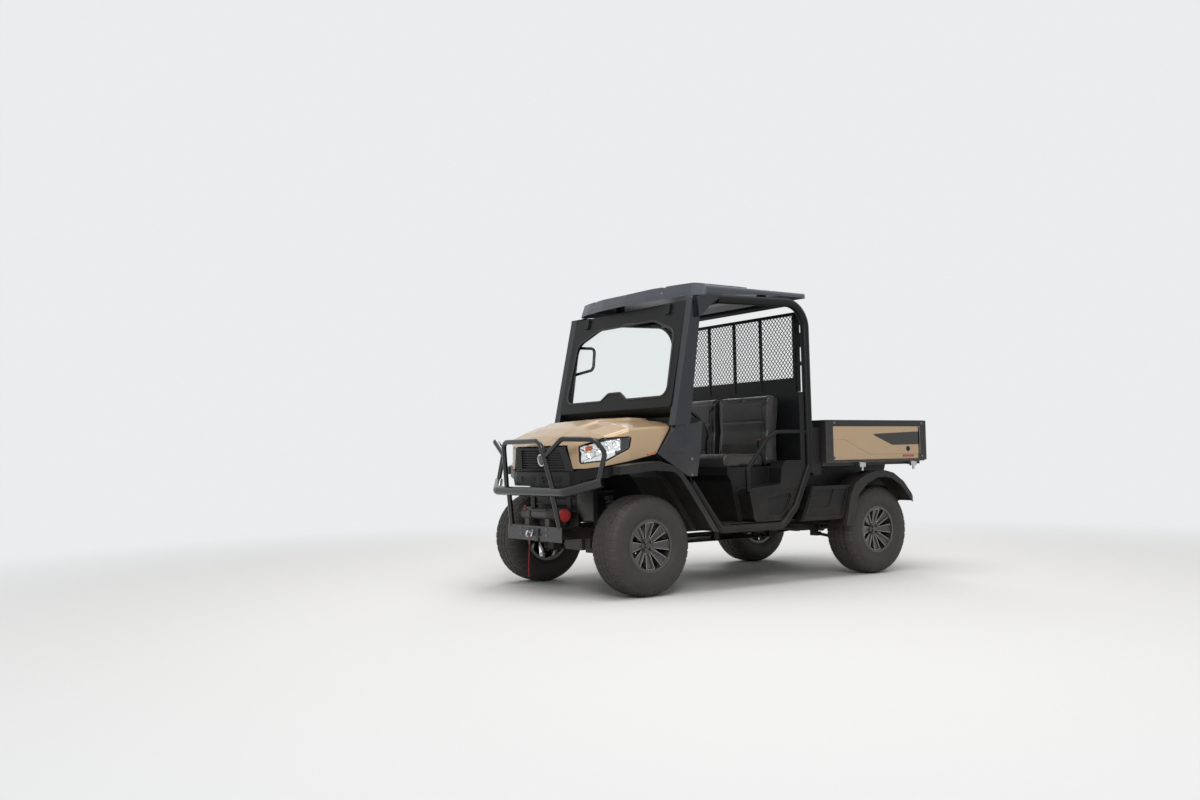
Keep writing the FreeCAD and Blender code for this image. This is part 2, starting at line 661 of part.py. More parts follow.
def rops_frame():
    """Roll-over frame: roof rails bent down into the rear legs, sill tubes and cross tubes."""
    leg = rops_leg(TUBE_D)
    sill = sill_tube(SILL_D)
    cross = [rod((0, 1225, ROOF_RAIL_Z + 18), (LEG_X, 1225, ROOF_RAIL_Z + 18), 22),
             rod((0, LEG_Y + 2, 1262), (LEG_X + 4, LEG_Y + 2, 1262), 22),
             rod((0, FRONT_CROSS, ROOF_RAIL_Z + 5), (LEG_X, FRONT_CROSS, ROOF_RAIL_Z + 5), 22)]
    room = roof_form(ROOF_T + SEAT_GAP, 60)
    pads = [box(x - 30, x + 30, y - 18, y + 18, ROOF_RAIL_Z + 10, ROOF_TOP + 40).common(room)
            for x in (450,) for y in (FRONT_CROSS, 1225)]
    half = [leg, sill] + cross + pads
    return fuse(half + [mirrored(s) for s in half])


COWL_SIDE = [(229, 1068), (429, 1091), (414, 933), (378, 742), (301, 744), (109, 890)]


def front_pillars():
    """Flat front pillars, narrower upwards, with gussets to the roof rails and a grab handle on the right one."""
    x0, x1 = PILLAR_IN, CAB_HALF
    foot = [(x0, 200), (x1, 197), (x1, 325), (x0 + 30, 325), (x0, 250)]
    head = [(x0 - 8, 379), (x1 - 8, 376), (x1 - 8, 452), (x0 + 22, 452), (x0 - 8, 425)]
    pillar = lofted([outline(foot, "xy", 1060), outline(head, "xy", 1900)])
    gusset = side_prism([(405, 1770), (434, 1790, 40), (520, 1868, 120), (604, 1912), (604, 1926), (470, 1920),
                         (392, 1900)], PILLAR_IN + 20, 744)
    rail_z = ROOF_RAIL_Z + 3
    notch = rod((LEG_X, RAIL_START - SEAT_GAP, rail_z), (LEG_X, 700, rail_z + 3), TUBE_D / 2 + SEAT_GAP)
    cowl_line = [(100, 1000), (100, 1068), (229, 1068 + SEAT_GAP), (429, 1091 + SEAT_GAP), (429, 1000)]
    below = side_prism(cowl_line, 500, HALF)
    left = fuse([pillar, gusset]).cut(notch).cut(below)
    handle = tube([(-652, 395, 1690), (-455, 405, 1668), (-455, 390, 1512), (-652, 370, 1490)], 22, 40)
    return Part.makeCompound([left, fuse([mirrored(left), handle])])


def roof_form(inset, low):
    """The roof as a full block, drawn in by a wall and let down below its lip: crowned, bowed at its front."""
    side = [(300 + inset, 1918 - low), (300 + inset, 1950 - inset), (350 + inset, 1996 - inset, 40),
            (785, 2012 - inset, 300), (1369 - inset, ROOF_TOP - inset, 60), (1450 - inset, 1974 - inset),
            (1436 - inset, 1963 - low), (1141, 1962 - low), (588, 1935 - low), (460, 1921 - low)]
    front = symmetric([(0, ROOF_TOP + 2 - inset), (560, ROOF_TOP - 6 - inset, 120),
                       (ROOF_HALF - 12 - inset, 1990 - inset, 30), (ROOF_HALF - inset, 1780)])
    rows = []
    for z, back, thin in ((1800, -45 + inset, inset), (2040, 47 + inset, inset + 12)):
        line = [(0, 316 + back), (260, 328 + back), (500, 368 + back), (640, 410 + back, 60),
                (ROOF_HALF - thin, 480 + back, 60), (ROOF_HALF - thin, 1380, 60),
                (ROOF_HALF - 60, 1450 - inset, 60), (0, 1452 - inset)]
        rows.append(outline(symmetric(line), "xy", z))
    return side_prism(side, -HALF, HALF).common(front_prism(front, 100, 1600)).common(lofted(rows))


ROOF_BANDS = [(22, 378), (422, 640)]
BAND_RISE = 9.0


def roof():
    """Moulded hard roof: a crowned shell, open below, with raised bands over its front half."""
    shell = roof_form(0, 0).cut(roof_form(ROOF_T, 60))
    top = roof_form(4, 0).translate(Vector(0, 0, BAND_RISE + 4))
    bands = []
    for x0, x1 in ROOF_BANDS:
        line = [(x0, 280), (x1, 280), (x1, 860, 30), (x1 - 40, 960, 30), (x0 + 40, 960, 30), (x0, 860, 30)]
        band = top.common(plan_prism(line, 1940, 2100))
        bands += [band, mirrored(band)]
    return fuse([shell] + [band.cut(roof_form(ROOF_T - 2, 60)) for band in bands])


def leaning(shape):
    """Tips an upright piece back onto the windscreen's plane."""
    shape.rotate(ORIGIN, X_AXIS, -SCREEN_LEAN)
    return shape.translate(Vector(0, SCREEN_FOOT_Y, SCREEN_FOOT_Z))


def glass_opening(grow, y0, y1):
    """Window outline on the upright screen: arched top, round corners, a raised notch at the foot."""
    g = grow
    right = [(0, 128 - g, 60), (70, 122 - g, 40), (150, 70 - g, 40), (600 + g, 70 - g, 70),
             (572 + g, 520 + g, 90), (330, 612 + g, 200), (0, 626 + g)]
    return front_prism(symmetric(right), y0, y1)


def windscreen_frame():
    """Black frame round the windscreen glass, with its foot panel down to the cowl and two corner brackets."""
    right = [(0, 0), (SCREEN_HALF, 0, 20), (SCREEN_HALF - 6.8, SCREEN_H, 30), (0, SCREEN_H)]
    plate = front_prism(symmetric(right), -SCREEN_T / 2, SCREEN_T / 2)
    brackets = [box(455, 500, -SCREEN_T / 2 - 14, 1 - SCREEN_T / 2, 636, 706)]
    brackets.append(mirrored(brackets[0]))
    upper = leaning(fuse([plate] + brackets).cut(glass_opening(0, -SCREEN_T - 9, SCREEN_T)))
    line = [(296, 1093.9), (296, 1126), (229, 1188), (242, 1191), (310, 1130), (310, 1093.9)]
    foot = side_prism(line, 2.5 - PILLAR_IN, PILLAR_IN - 2.5)
    return fuse([upper, foot])


def windscreen_glass():
    return leaning(glass_opening(14, SCREEN_T / 2, SCREEN_T / 2 + GLASS_T))


MESH_PITCH = 33.0
MESH_SLOPE = 1.15
MESH_BAR = 5.0
MESH_T = 2.0


def mesh_bars(window, slope, y):
    """One layer of parallel flat bars across a window of the rear screen, as wide apart as the mesh."""
    x0, x1, z0, z1 = window
    lean = (z1 - z0) / abs(slope)
    half = MESH_BAR / 2 * math.sqrt(1 + 1 / slope ** 2)
    bars = []
    start = x0 - lean + MESH_PITCH / 2
    for i in range(int((x1 - start) / MESH_PITCH) + 1):
        foot = start + i * MESH_PITCH
        low, high = max(foot, x0 + half), min(foot + lean, x1 - half)
        if high - low < MESH_PITCH:
            continue
        za, zb = z0 + (low - foot) * abs(slope), z0 + (high - foot) * abs(slope)
        if slope < 0:
            low, high = x0 + x1 - low, x0 + x1 - high
        bar = [(low - half, za), (low + half, za), (high + half, zb), (high - half, zb)]
        bars.append(front_prism(bar, y, y + MESH_T))
    return bars


def rear_screen():
    """Rear screen: square frame, three bars, a foot plate and a mesh held in it."""
    y0, y1 = LEG_Y - 22, LEG_Y - 2
    z0, z1, half = 1302, 1866, 640
    frame_bars = box(-half, half, y0, y1, z0, z1).cut(box(-half + 22, half - 22, y0 - 1, y1 + 1, z0 + 22, z1 - 22))
    parts = [frame_bars]
    for x in (-285, 0, 285):
        parts.append(box(x - 9, x + 9, y0 + 1, y1 - 1, z0 + 5, z1 - 5))
    parts.append(box(-half + 10, half - 10, y0 + 6, y0 + 10, z0 + 10, z0 + 105))
    for z in (z0 + 200, z1 - 80):
        parts.append(box(half - 4, LEG_X - 6, y0 + 2, y1 - 2, z - 14, z + 14))
        parts.append(box(6 - LEG_X, 4 - half, y0 + 2, y1 - 2, z - 14, z + 14))
    for x0, x1 in ((half - 4, LEG_X - 6), (6 - LEG_X, 4 - half)):
        parts.append(box(x0, x1, y0 + 2, y1 - 2, 1616, 1716))
    middle = (y0 + y1) / 2
    window = (10 - half, half - 10, z0 + 95, z1 - 10)
    for slope, layer in ((MESH_SLOPE, middle - MESH_T - 0.1), (-MESH_SLOPE, middle + 0.1)):
        parts += mesh_bars(window, slope, layer)
    return fuse(parts).cut(rops_frame())


# Nose

HOOD_SECTIONS = [
    # y, half width, crease z, shoulder x, shoulder z, bulge foot x, bulge foot z, middle z
    (-388, 190, 925, 156, 948, 126, 956, 968),
    (-332, 400, 950, 290, 992, 200, 1003, 1018),
    (-240, 575, 1002, 400, 1040, 262, 1053, 1070),
    (-100, 640, 1050, 450, 1086, 312, 1097, 1118),
    (130, 650, 1062, 470, 1104, 352, 1113, 1138),
    (262, 655, 1062, 480, 1102, 372, 1110, 1132),
]
BULGE_EDGE = 34.0


def hood_form(inset):
    """The whole nose form, of straight rulings between six sections, drawn in by a wall's thickness."""
    wires = []
    for y, half, crease, shoulder, shoulder_z, bulge, bulge_z, middle in HOOD_SECTIONS:
        right = [(0, middle - inset), (bulge - BULGE_EDGE, middle - 5 - inset, 30), (bulge, bulge_z - inset, 20),
                 (shoulder, shoulder_z - inset, 60), (half - inset, crease - inset, 24), (half - inset, 700)]
        wires.append(outline(symmetric(right), "xz", y + (inset if y < 0 else 0)))
    return lofted(wires)


HOOD_HINGE_Y = 262.0
HOOD_HINGE_Z = 1098.0
HOOD_EAR_X = 300.0


def hood():
    """Tan hood: a thin shell, cut to the grille, the lamps, the arch line and the slanted cowl joint."""
    shell = hood_form(0).cut(hood_form(HOOD_T))
    side = [(-420, 800), (-305, 804), (101, 889), (221, 1068), (258, 1080), (258, 1200), (-420, 1200)]
    shell = shell.common(side_prism(side, -HALF, HALF))
    grille = symmetric([(0, 953), (316, 953), (372, 780), (0, 780)])
    shell = shell.cut(front_prism(grille, -500, -180))
    shell = shell.cut(lamp_prism(4)).cut(mirrored(lamp_prism(4)))
    y, z, x = HOOD_HINGE_Y, HOOD_HINGE_Z, HOOD_EAR_X
    ear = [box(x - 4, x + 4, 200, y, z - 6, z + 26), rod((x - 4, y, z), (x + 4, y, z), 8),
           rod((x, y, z), (x + 14, y, z), 4)]
    return fuse([shell] + ear + [mirrored(e) for e in ear])


LAMP_DIR = Vector(0.62, -0.78, 0.0)
LAMP_POINTS = [(412, -329, 944), (414, -322, 834), (585, -240, 852), (628, -90, 922), (632, -72, 1000),
               (560, -250, 990)]


def lamp_prism(grow):
    """A prism along the lamp's facing direction, through its outline on the hood."""
    d = Vector(LAMP_DIR).normalize()
    pts = [Vector(p) for p in LAMP_POINTS]
    flat = [p - d * p.dot(d) for p in pts]
    middle = sum(flat, Vector()) * (1.0 / len(flat))
    flat = [p + (p - middle).normalize() * grow for p in flat]
    face = Part.Face(rounded(flat, [16] * len(flat)))
    return face.translate(d * 250).extrude(d * 600)


def headlamps():
    """Headlamps set flush in the hood, carried by it on an inner shelf."""
    body = hood_form(1.5).common(lamp_prism(0)).cut(hood_form(70))
    flange = hood_form(HOOD_T + 0.3).common(lamp_prism(16)).cut(hood_form(HOOD_T + 8))
    return both(fuse([body, flange]))


def grille():
    """Black grille with level louvres between two uprights, and a plain round boss."""
    edge = symmetric([(0, 947), (306, 947), (358, 782.6), (0, 782.6)])
    hole = symmetric([(0, 934), (236, 934), (270, 806), (0, 806)])
    plate = front_prism(edge, -10, 10).cut(front_prism(hole, -20, 7))
    bars = [box(-262, 262, -6, 6, z, z + 7) for z in range(816, 934, 16)]
    bars = [b.common(front_prism(edge, -9, 9)) for b in bars]
    boss = rod((0, -14, 862), (0, 6, 862), 42)
    body = fuse([plate, boss] + bars)
    body.rotate(Vector(0, 0, 870), X_AXIS, 11)
    return body.translate(Vector(0, -340, 0))


def front_fascia():
    """Lower nose panel under the hood and grille, wrapped round the corners, with the grille's shelf."""
    out = [(0, -372), (330, -346), (420, -316), (600, -236), (640, -215)]
    inner = [(640, -206), (598, -226), (416, -308), (329, -338), (0, -364)]
    face = [(-1, 690), (395, 690), (425, 733), (600, 746), (641, 768), (641, 813), (376, 792), (376, 776), (-1, 776)]
    wall = plan_prism(out + inner, 690, 830).common(front_prism(face, -500, -150))
    vent = front_prism([(40, 712, 6), (250, 712, 6), (262, 752, 6), (30, 752, 6)], -500, -200)
    for z in range(718, 750, 8):
        vent = vent.cut(box(0, 300, -500, -200, z, z + 3))
    back = plan_prism([(0, -364), (329, -338), (329, -334), (0, -360)], 700, 770)
    shelf = [(0, -372), (330, -346), (395, -324), (395, -296), (0, -296)]
    foot = [(0, -364), (330, -338), (392, -316), (392, -180), (0, -180)]
    return joined(fuse([wall.cut(vent), back, plan_prism(shelf, 776, 782), plan_prism(foot, 690, 696)]))


ARCH_WALL = 5.0
FLARE_TOP = [(-374, 762), (-271, 806), (-123, 832, 60), (29, 843, 120), (185, 798, 80), (276, 689), (497, 384)]
FLARE_LOW = [(452, 387), (197, 736, 60), (141, 777, 60), (-27, 787), (-246, 761), (-372, 740)]


def arch(top, low, x_in, x_mid, x_out, plan, low_end=-1000):
    """Wheel arch: an outer flare with a hanging lip, cut to a plan outline, and a lower liner inboard of it."""
    face = Part.Face(outline(top + low, "yz", x_mid))
    line = Part.Face(outline(plan, "xy", 300))
    band = face.extrude(Vector(x_out - x_mid, 0, 0)).common(line.extrude(Vector(0, 0, 700)))
    hollow = face.makeOffset2D(-ARCH_WALL).extrude(Vector(x_out - x_mid, 0, 0))
    inside = line.makeOffset2D(-ARCH_WALL).extrude(Vector(0, 0, 700))
    room = hollow.common(inside)
    lip = band.cut(room).cut(room.translated(Vector(0, 0, -2 * ARCH_WALL)))
    line = [(p[0], p[1]) for p in low]
    liner = side_prism(line + [(y, z + ARCH_WALL) for y, z in reversed(line)], x_in, x_mid + ARCH_WALL)
    liner = liner.common(box(x_in, x_mid + ARCH_WALL, low_end, 3000, 300, 1000))
    return fuse([lip, liner])


LINER_FRONT = -190.0
COVER_END = 365.0
FLARE_IN = 640.3
FLARE_ROOT = 562.0


def front_fenders():
    plan = [(FLARE_ROOT, -196), (FLARE_IN, -196), (FLARE_IN, -225), (700, -215, 40), (780, -110, 80), (780, 520),
            (FLARE_ROOT, 520)]
    return both(arch(FLARE_TOP, FLARE_LOW, 262, FLARE_ROOT, 780, plan, LINER_FRONT))


FENDER_TOP = [(-394, 365), (-342, 570, 40), (-297, 653, 40), (-192, 714, 90), (-69, 740, 90), (20, 744, 90),
              (109, 724, 90), (215, 660, 60), (347, 518)]
FENDER_LOW = [(311, 506), (191, 630, 60), (95, 684, 60), (15, 698, 90), (-69, 694, 60), (-168, 655, 60),
              (-261, 580, 40), (-333, 365)]


def rear_fenders():
    """Rear wheel arches, each with an inner screen that closes the engine bay under the bed."""
    plan = [(655, -445), (HALF, -445), (HALF, 315, 60), (740, 375), (655, 375)]
    top = BED_BASE - 8
    screen = side_prism([(-560, 560), (-262, 585), (-168, 660), (-69, 699), (15, 703), (95, 689), (191, 634),
                         (240, 640), (300, top), (-560, top)], 560, 566)
    fender = fuse([arch(FENDER_TOP, FENDER_LOW, 420, 655, HALF, plan), screen])
    return both(fender.translate(Vector(0, WHEELBASE, 0)))


def rear_side_panels():
    """Side covers between the rear leg and the rear wheel, with raised mouldings."""
    rear = WHEELBASE - COVER_END
    cover = side_prism([(1250, 412), (rear, 412), (rear + 50, 570), (rear + 80, 648), (1362, 646)], 700, 762)
    rim_line = [(1262, 416), (rear - 10, 416), (rear + 34, 570), (rear + 58, 644), (1366, 642)]
    field = [(1292, 438, 12), (rear - 34, 438, 12), (rear + 6, 562, 12), (rear + 24, 622, 12), (1372, 620, 12)]
    step = [(1300, 492, 8), (1512, 500, 8), (1566, 622, 8), (1590, 622, 8), (1530, 480, 8), (1292, 472, 8)]
    raised = side_prism(rim_line, 760, 774).cut(side_prism(field, 764, 776))
    ribs = [raised, side_prism(step, 760, 772)]
    arch_room = side_prism(FENDER_TOP + FENDER_LOW, 600, 900).translate(Vector(0, WHEELBASE - SEAT_GAP, 0))
    return both(fuse([cover] + ribs).cut(arch_room))


def cowl():
    """Charcoal cowl: side panels ahead of the door openings, and the hinge strip under the windscreen."""
    out, wall = CAB_HALF, COWL_WALL
    plan_line = [(656, 60), (660, 120), (out, 300), (out, 440), (out - wall, 440), (out - wall, 310), (620, 130), (616, 60)]
    panel = plan_prism(plan_line, 700, 1091).common(side_prism(COWL_SIDE, 500, 760))
    half = PILLAR_IN - 10 - SEAT_GAP
    strip = side_prism([(272, 1066), (FIREWALL_Y - FLOOR_T - SEAT_GAP, 1072), (FIREWALL_Y - FLOOR_T - SEAT_GAP, 1094),
                        (272, 1092)], -half, half)
    side_end = side_prism([(272, 1050), (323, 1055), (323, 1077.5), (272, 1071.5)], 600, 690)
    y, z, x = HOOD_HINGE_Y, HOOD_HINGE_Z, HOOD_EAR_X + 5
    lug = fuse([rod((x, y, z), (x + 8, y, z), 7), box(x, x + 8, y, 290, z - 7, z - 5)])
    web = side_prism([(y - 6, z - 4), (y + 2, z - 10), (278, 1070), (278, 1090), (y + 4, z + 4)], x, x + 8)
    lugs = fuse([lug, web]).cut(rod((x - 1, y, z), (x + 20, y, z), 4 + PIN_GAP))
    return fuse([strip, panel, mirrored(panel), side_end, mirrored(side_end), lugs, mirrored(lugs)])


# Guard and winch

def brush_guard():
    """Front guard: main bar, centre hoop, lamp hoops, uprights and the winch plate."""
    hoop_y = HOOP_D / 2 - FRONT_OVERHANG
    bar = tube([(-640, -309, 718), (-430, BAR_Y, BAR_Z), (430, BAR_Y, BAR_Z), (640, -309, 718)], BAR_D, 90)
    centre = tube([(-295, BAR_Y, BAR_Z), (-228, hoop_y, 984), (228, hoop_y, 984), (295, BAR_Y, BAR_Z)], HOOP_D, 60)
    side = tube([(262, -478, 890), (420, -462, 992), (597, -333, 985), (630, -278, 900), (618, -326, 714)], HOOP_D, 50)
    leg = rod((270, BAR_Y, BAR_Z), (298, -405, 425), 17)
    arm = box(200, 240, -410, RAIL_FRONT - SEAT_GAP, 345, 430)
    plate = box(-336, 336, -416, -408, 339, 435)
    tray = box(-336, 336, -412, -290, 429, 435)
    return fuse([bar, centre, side, mirrored(side), leg, mirrored(leg), plate, tray, arm, mirrored(arm)])


def winch():
    """Winch: drum between two end drums, on feet, with its motor at the left."""
    y, z = -352, 508
    drum = rod((-90, y, z), (90, y, z), 30)
    gear = rod((-200, y, z), (-88, y, z), 44)
    motor = rod((88, y, z), (280, y, z), 40)
    feet = [box(-150, -100, y - 40, y + 40, 435, 480), box(100, 150, y - 40, y + 40, 435, 480)]
    ties = [rod((-100, y - 30, z + 26), (100, y - 30, z + 26), 7)]
    return fuse([drum, gear, motor] + feet + ties)


def winch_hook():
    """Rope end and clevis hook at the plate's mouth."""
    fairlead = box(-70, 70, -424, -416 - SEAT_GAP, 372, 420)
    stem = rod((0, -426, 404), (0, -450, 400), 9)
    ring = Part.makeTorus(20, 6, Vector(0, -452, 384), X_AXIS)
    return fuse([fairlead, box(-12, 12, -430, -423, 392, 412), stem, ring])


STRAP_POINTS = [(0, -452, 357.6), (5, -455, 280), (-4, -458, 190), (2, -460, 108)]
STRAP_D = 20.0


def hook_strap():
    """Red pull strap of the hook, hanging free."""
    points = [Vector(p) for p in STRAP_POINTS]
    radii = [0.0]
    for a, b, c in zip(points, points[1:], points[2:]):
        turn = (b - a).getAngle(c - b)
        radii.append(0.45 * min((b - a).Length, (c - b).Length) / math.tan(turn / 2))
    radii.append(0.0)
    path = rounded(points, radii, closed=False)
    circle = Part.makeCircle(STRAP_D / 2, points[0], points[1] - points[0])
    return path.makePipeShell([Part.Wire(circle)], True, False)


# Bed

def bed_tub():
    """Cargo bed: ribbed floor, front wall, framed sides, long members and hinge ears."""
    b, w = BED_HALF, BED_WALL
    tub = box(-b, b, BED_FRONT, BED_REAR, BED_BASE, BED_TOP)
    tub = tub.cut(box(-b + w, b - w, BED_FRONT + w - 10, BED_REAR + 1, BED_FLOOR, BED_TOP + 1))
    pocket = box(b - 8, b + 1, BED_FRONT + 72, BED_REAR - 43, BED_BASE - 1, BED_TOP - 46)
    tub = tub.cut(pocket).cut(mirrored(pocket))
    x0 = RAIL_X + RAIL_W
    member = box(x0, x0 + 40, BED_FRONT + 20, BED_REAR - 10, BED_BASE - 36, BED_BASE + 2)
    ear = side_prism([(BED_HINGE_Y - 30, BED_BASE - 30), (BED_HINGE_Y + 30, BED_BASE - 30),
                      (BED_HINGE_Y + 22, BED_HINGE_Z - 22, 20), (BED_HINGE_Y - 22, BED_HINGE_Z - 22, 20)], x0, x0 + 12)
    pin = rod((RAIL_X, BED_HINGE_Y, BED_HINGE_Z), (x0 + 6, BED_HINGE_Y, BED_HINGE_Z), BED_PIN_R)
    sill = box(b - 62, b - 40.5, BED_FRONT + 4, BED_REAR - 4, BED_BASE - 22, BED_BASE + 2)
    half = [member, ear, pin, sill]
    lug = []
    for side in (-1, 1):
        x = LIFT_X + side * 26
        lug.append(box(x - 6, x + 6, LIFT_EYE_Y - 22, LIFT_EYE_Y + 22, LIFT_EYE_Z - 22, BED_BASE + 2))
        lug.append(rod((x + side * 5, LIFT_EYE_Y, LIFT_EYE_Z), (x + side * 12, LIFT_EYE_Y, LIFT_EYE_Z), LIFT_PIN_R + 4))
    return fuse([tub] + half + [mirrored(s) for s in half] + lug + gate_lugs())


def bed_side_panels():
    """Painted side panels with the stepped crease."""
    b = BED_HALF
    y0, y1, z0, z1 = BED_FRONT + 72, BED_REAR - 43, BED_BASE, BED_TOP - 46
    low = box(b - 8, b - 3, y0, y1, z0, z1)
    high = side_prism([(y0, 974), (1690, 968, 60), (1950, 861, 60), (y1, 861), (y1, z1), (y0, z1)], b - 4, b)
    return both(fuse([low, high]))


def bed_latches():
    """Galvanised catches under the side panels."""
    catches = []
    for y in (1850, 2400):
        catches.append(fuse([box(BED_HALF - 6, BED_HALF + 12, y - 30, y + 30, BED_BASE - 34, BED_BASE - 4),
                             rod((BED_HALF + 6, y, BED_BASE - 60), (BED_HALF + 6, y, BED_BASE - 4), 9),
                             box(BED_HALF - 40, BED_HALF - 2, y - 20, y + 20, BED_BASE - 24, BED_BASE)]))
    return Part.makeCompound(catches + [mirrored(c) for c in catches])


GATE_LUGS = (-690, -230, 230, 690)
GATE_PIN_R = 5.0


def gate_hinge():
    return BED_REAR + GATE_GAP + GATE_T / 2, BED_BASE + 6 + GATE_T / 2


def gate_lugs():
    """Hinge lugs of the tailgate, on the bed's rear edge."""
    y, z = gate_hinge()
    lugs = []
    for x in GATE_LUGS:
        lug = fuse([rod((x - 6, y, z), (x + 6, y, z), 8), box(x - 6, x + 6, BED_REAR - 3, y, z - 8, z + 4)])
        lugs.append(lug.cut(rod((x - 7, y, z), (x + 7, y, z), GATE_PIN_R + PIN_GAP)))
    return lugs


def tailgate():
    """Tailgate hinged at its foot, framed, with the painted panel let in."""
    y0 = BED_REAR + GATE_GAP
    foot, round_r = BED_BASE + 6, GATE_T / 2 - 0.1
    plate = side_prism([(y0, foot, round_r), (y0 + GATE_T, foot, round_r), (y0 + GATE_T, BED_TOP - 2),
                        (y0, BED_TOP - 2)], -BED_HALF, BED_HALF)
    recess = box(-BED_HALF + 50, BED_HALF - 50, y0 + GATE_T - 6, y0 + GATE_T + 1, BED_BASE + 40, BED_TOP - 40)
    gate = plate.cut(recess)
    y, z = gate_hinge()
    for x in GATE_LUGS:
        gate = gate.cut(box(x - 12, x + 12, y0 - 1, y0 + GATE_T + 1, BED_BASE, z + 16))
        gate = fuse([gate, rod((x - 16, y, z), (x + 16, y, z), GATE_PIN_R)])
    return gate


def tail_lamps():
    """Red lamps on the rear cross tube's ends."""
    stem = box(530, 550, RAIL_REAR + 4, RAIL_REAR + 24, RAIL_Z + RAIL_H - 10, 600)
    lamp = box(490, 590, RAIL_REAR, RAIL_REAR + 36, 598, 668)
    return both(fuse([stem, lamp]))


NODES = {
    "frame": lambda: fuse([frame(), rack_box()]),
    "hitch_receiver": hitch_receiver,
    "engine_block": engine_block,
    "driveline": driveline,
    "suspension_arms": suspension_arms,
    "shock_absorbers": shock_absorbers,
    "rear_hubs": rear_hubs,
    "floor_pan": floor_pan,
    "dash": dash,
    "seat_base": seat_base,
    "seat_cushions": seat_cushions,
    "seat_backs": seat_backs,
    "rear_wall": rear_wall,
    "hip_guards": hip_guards,
    "rops_frame": rops_frame,
    "front_pillars": front_pillars,
    "roof": roof,
    "windscreen_frame": windscreen_frame,
    "windscreen_glass": windscreen_glass,
    "rear_screen": rear_screen,
    "front_fascia": front_fascia,
    "grille": grille,
    "front_fenders": front_fenders,
    "cowl": cowl,
    "rear_fenders": rear_fenders,
    "rear_side_panels": rear_side_panels,
    "brush_guard": brush_guard,
    "winch": winch,
    "winch_hook": winch_hook,
    "hook_strap": hook_strap,
    "tail_lamps": tail_lamps,
    "hood": hood,
    "headlamps": headlamps,
    "bed_tub": bed_tub,
    "bed_side_panels": bed_side_panels,
    "bed_latches": bed_latches,
    "tailgate": tailgate,
    "lift_cylinder": lift_cylinder,
    "lift_rod": lift_rod,
    "steering_wheel": steering_wheel,
    "steering_rack": steering_rack,
    "knuckle_left": knuckle,
    "knuckle_right": lambda: mirrored(knuckle()),
}

for name, x, y in (("front_left", TRACK_FRONT / 2, 0), ("front_right", -TRACK_FRONT / 2, 0),
                   ("rear_left", TRACK_REAR / 2, WHEELBASE), ("rear_right", -TRACK_REAR / 2, WHEELBASE)):
    NODES["tyre_" + name] = lambda x=x, y=y: tyre(x).translate(Vector(0, y, 0))
    NODES["rim_" + name] = lambda x=x, y=y: placed_rim(x, y)


os.makedirs("parts", exist_ok=True)
for name, build in NODES.items():
    shape = build()
    shape.translate(Vector(0, -MID_Y, 0))
    if not shape.isValid() or not shape.Solids:
        print("CHECK", name, "valid", shape.isValid(), "solids", len(shape.Solids))
    shape.exportStep("parts/" + name + ".step")
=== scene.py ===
import math

import bpy
import numpy as np
from mathutils import Matrix, Vector
from mathutils.bvhtree import BVHTree


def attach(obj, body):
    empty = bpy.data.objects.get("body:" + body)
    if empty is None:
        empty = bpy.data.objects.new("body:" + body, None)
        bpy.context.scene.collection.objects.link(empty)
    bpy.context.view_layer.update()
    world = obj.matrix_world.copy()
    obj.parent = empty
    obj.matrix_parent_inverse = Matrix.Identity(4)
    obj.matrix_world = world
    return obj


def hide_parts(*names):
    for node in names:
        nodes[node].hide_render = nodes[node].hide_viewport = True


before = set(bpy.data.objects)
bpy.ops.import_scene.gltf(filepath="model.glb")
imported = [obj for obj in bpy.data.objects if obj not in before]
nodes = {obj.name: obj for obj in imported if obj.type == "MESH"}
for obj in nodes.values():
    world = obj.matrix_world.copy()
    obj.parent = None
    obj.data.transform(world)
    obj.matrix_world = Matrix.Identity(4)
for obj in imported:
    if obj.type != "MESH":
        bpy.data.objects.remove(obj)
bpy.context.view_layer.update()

# The photograph's camera: a pinhole whose place and aim were solved from the wheels, guard, cab and bed.
# It stands ahead of the vehicle's left front corner, a little below the height of the bed's rim, and looks
# slightly up. The vehicle's own box is the frame: +X is its left and -Y its front.
PHOTO_WIDTH = 1200
FOCAL_PIXELS = 1108.2
CAMERA_PLACE = Vector((6.2236, -5.2052, 0.8783))
CAMERA_YAW = math.radians(-55.28)
CAMERA_PITCH = math.radians(2.92)
CAMERA_ROLL = math.radians(-1.02)

forward = Vector((math.sin(CAMERA_YAW) * math.cos(CAMERA_PITCH),
                  math.cos(CAMERA_YAW) * math.cos(CAMERA_PITCH), math.sin(CAMERA_PITCH)))
level_right = forward.cross(Vector((0, 0, 1))).normalized()
level_up = level_right.cross(forward)
right = level_right * math.cos(CAMERA_ROLL) + level_up * math.sin(CAMERA_ROLL)
up = level_up * math.cos(CAMERA_ROLL) - level_right * math.sin(CAMERA_ROLL)
camera_data = bpy.data.cameras.new("photo_camera")
camera_data.sensor_width = 36.0
camera_data.lens = FOCAL_PIXELS * camera_data.sensor_width / PHOTO_WIDTH
camera = bpy.data.objects.new("photo_camera", camera_data)
camera.matrix_world = Matrix.Translation(CAMERA_PLACE) @ Matrix((right, up, -forward)).transposed().to_4x4()
bpy.context.scene.collection.objects.link(camera)
bpy.context.scene.camera = camera

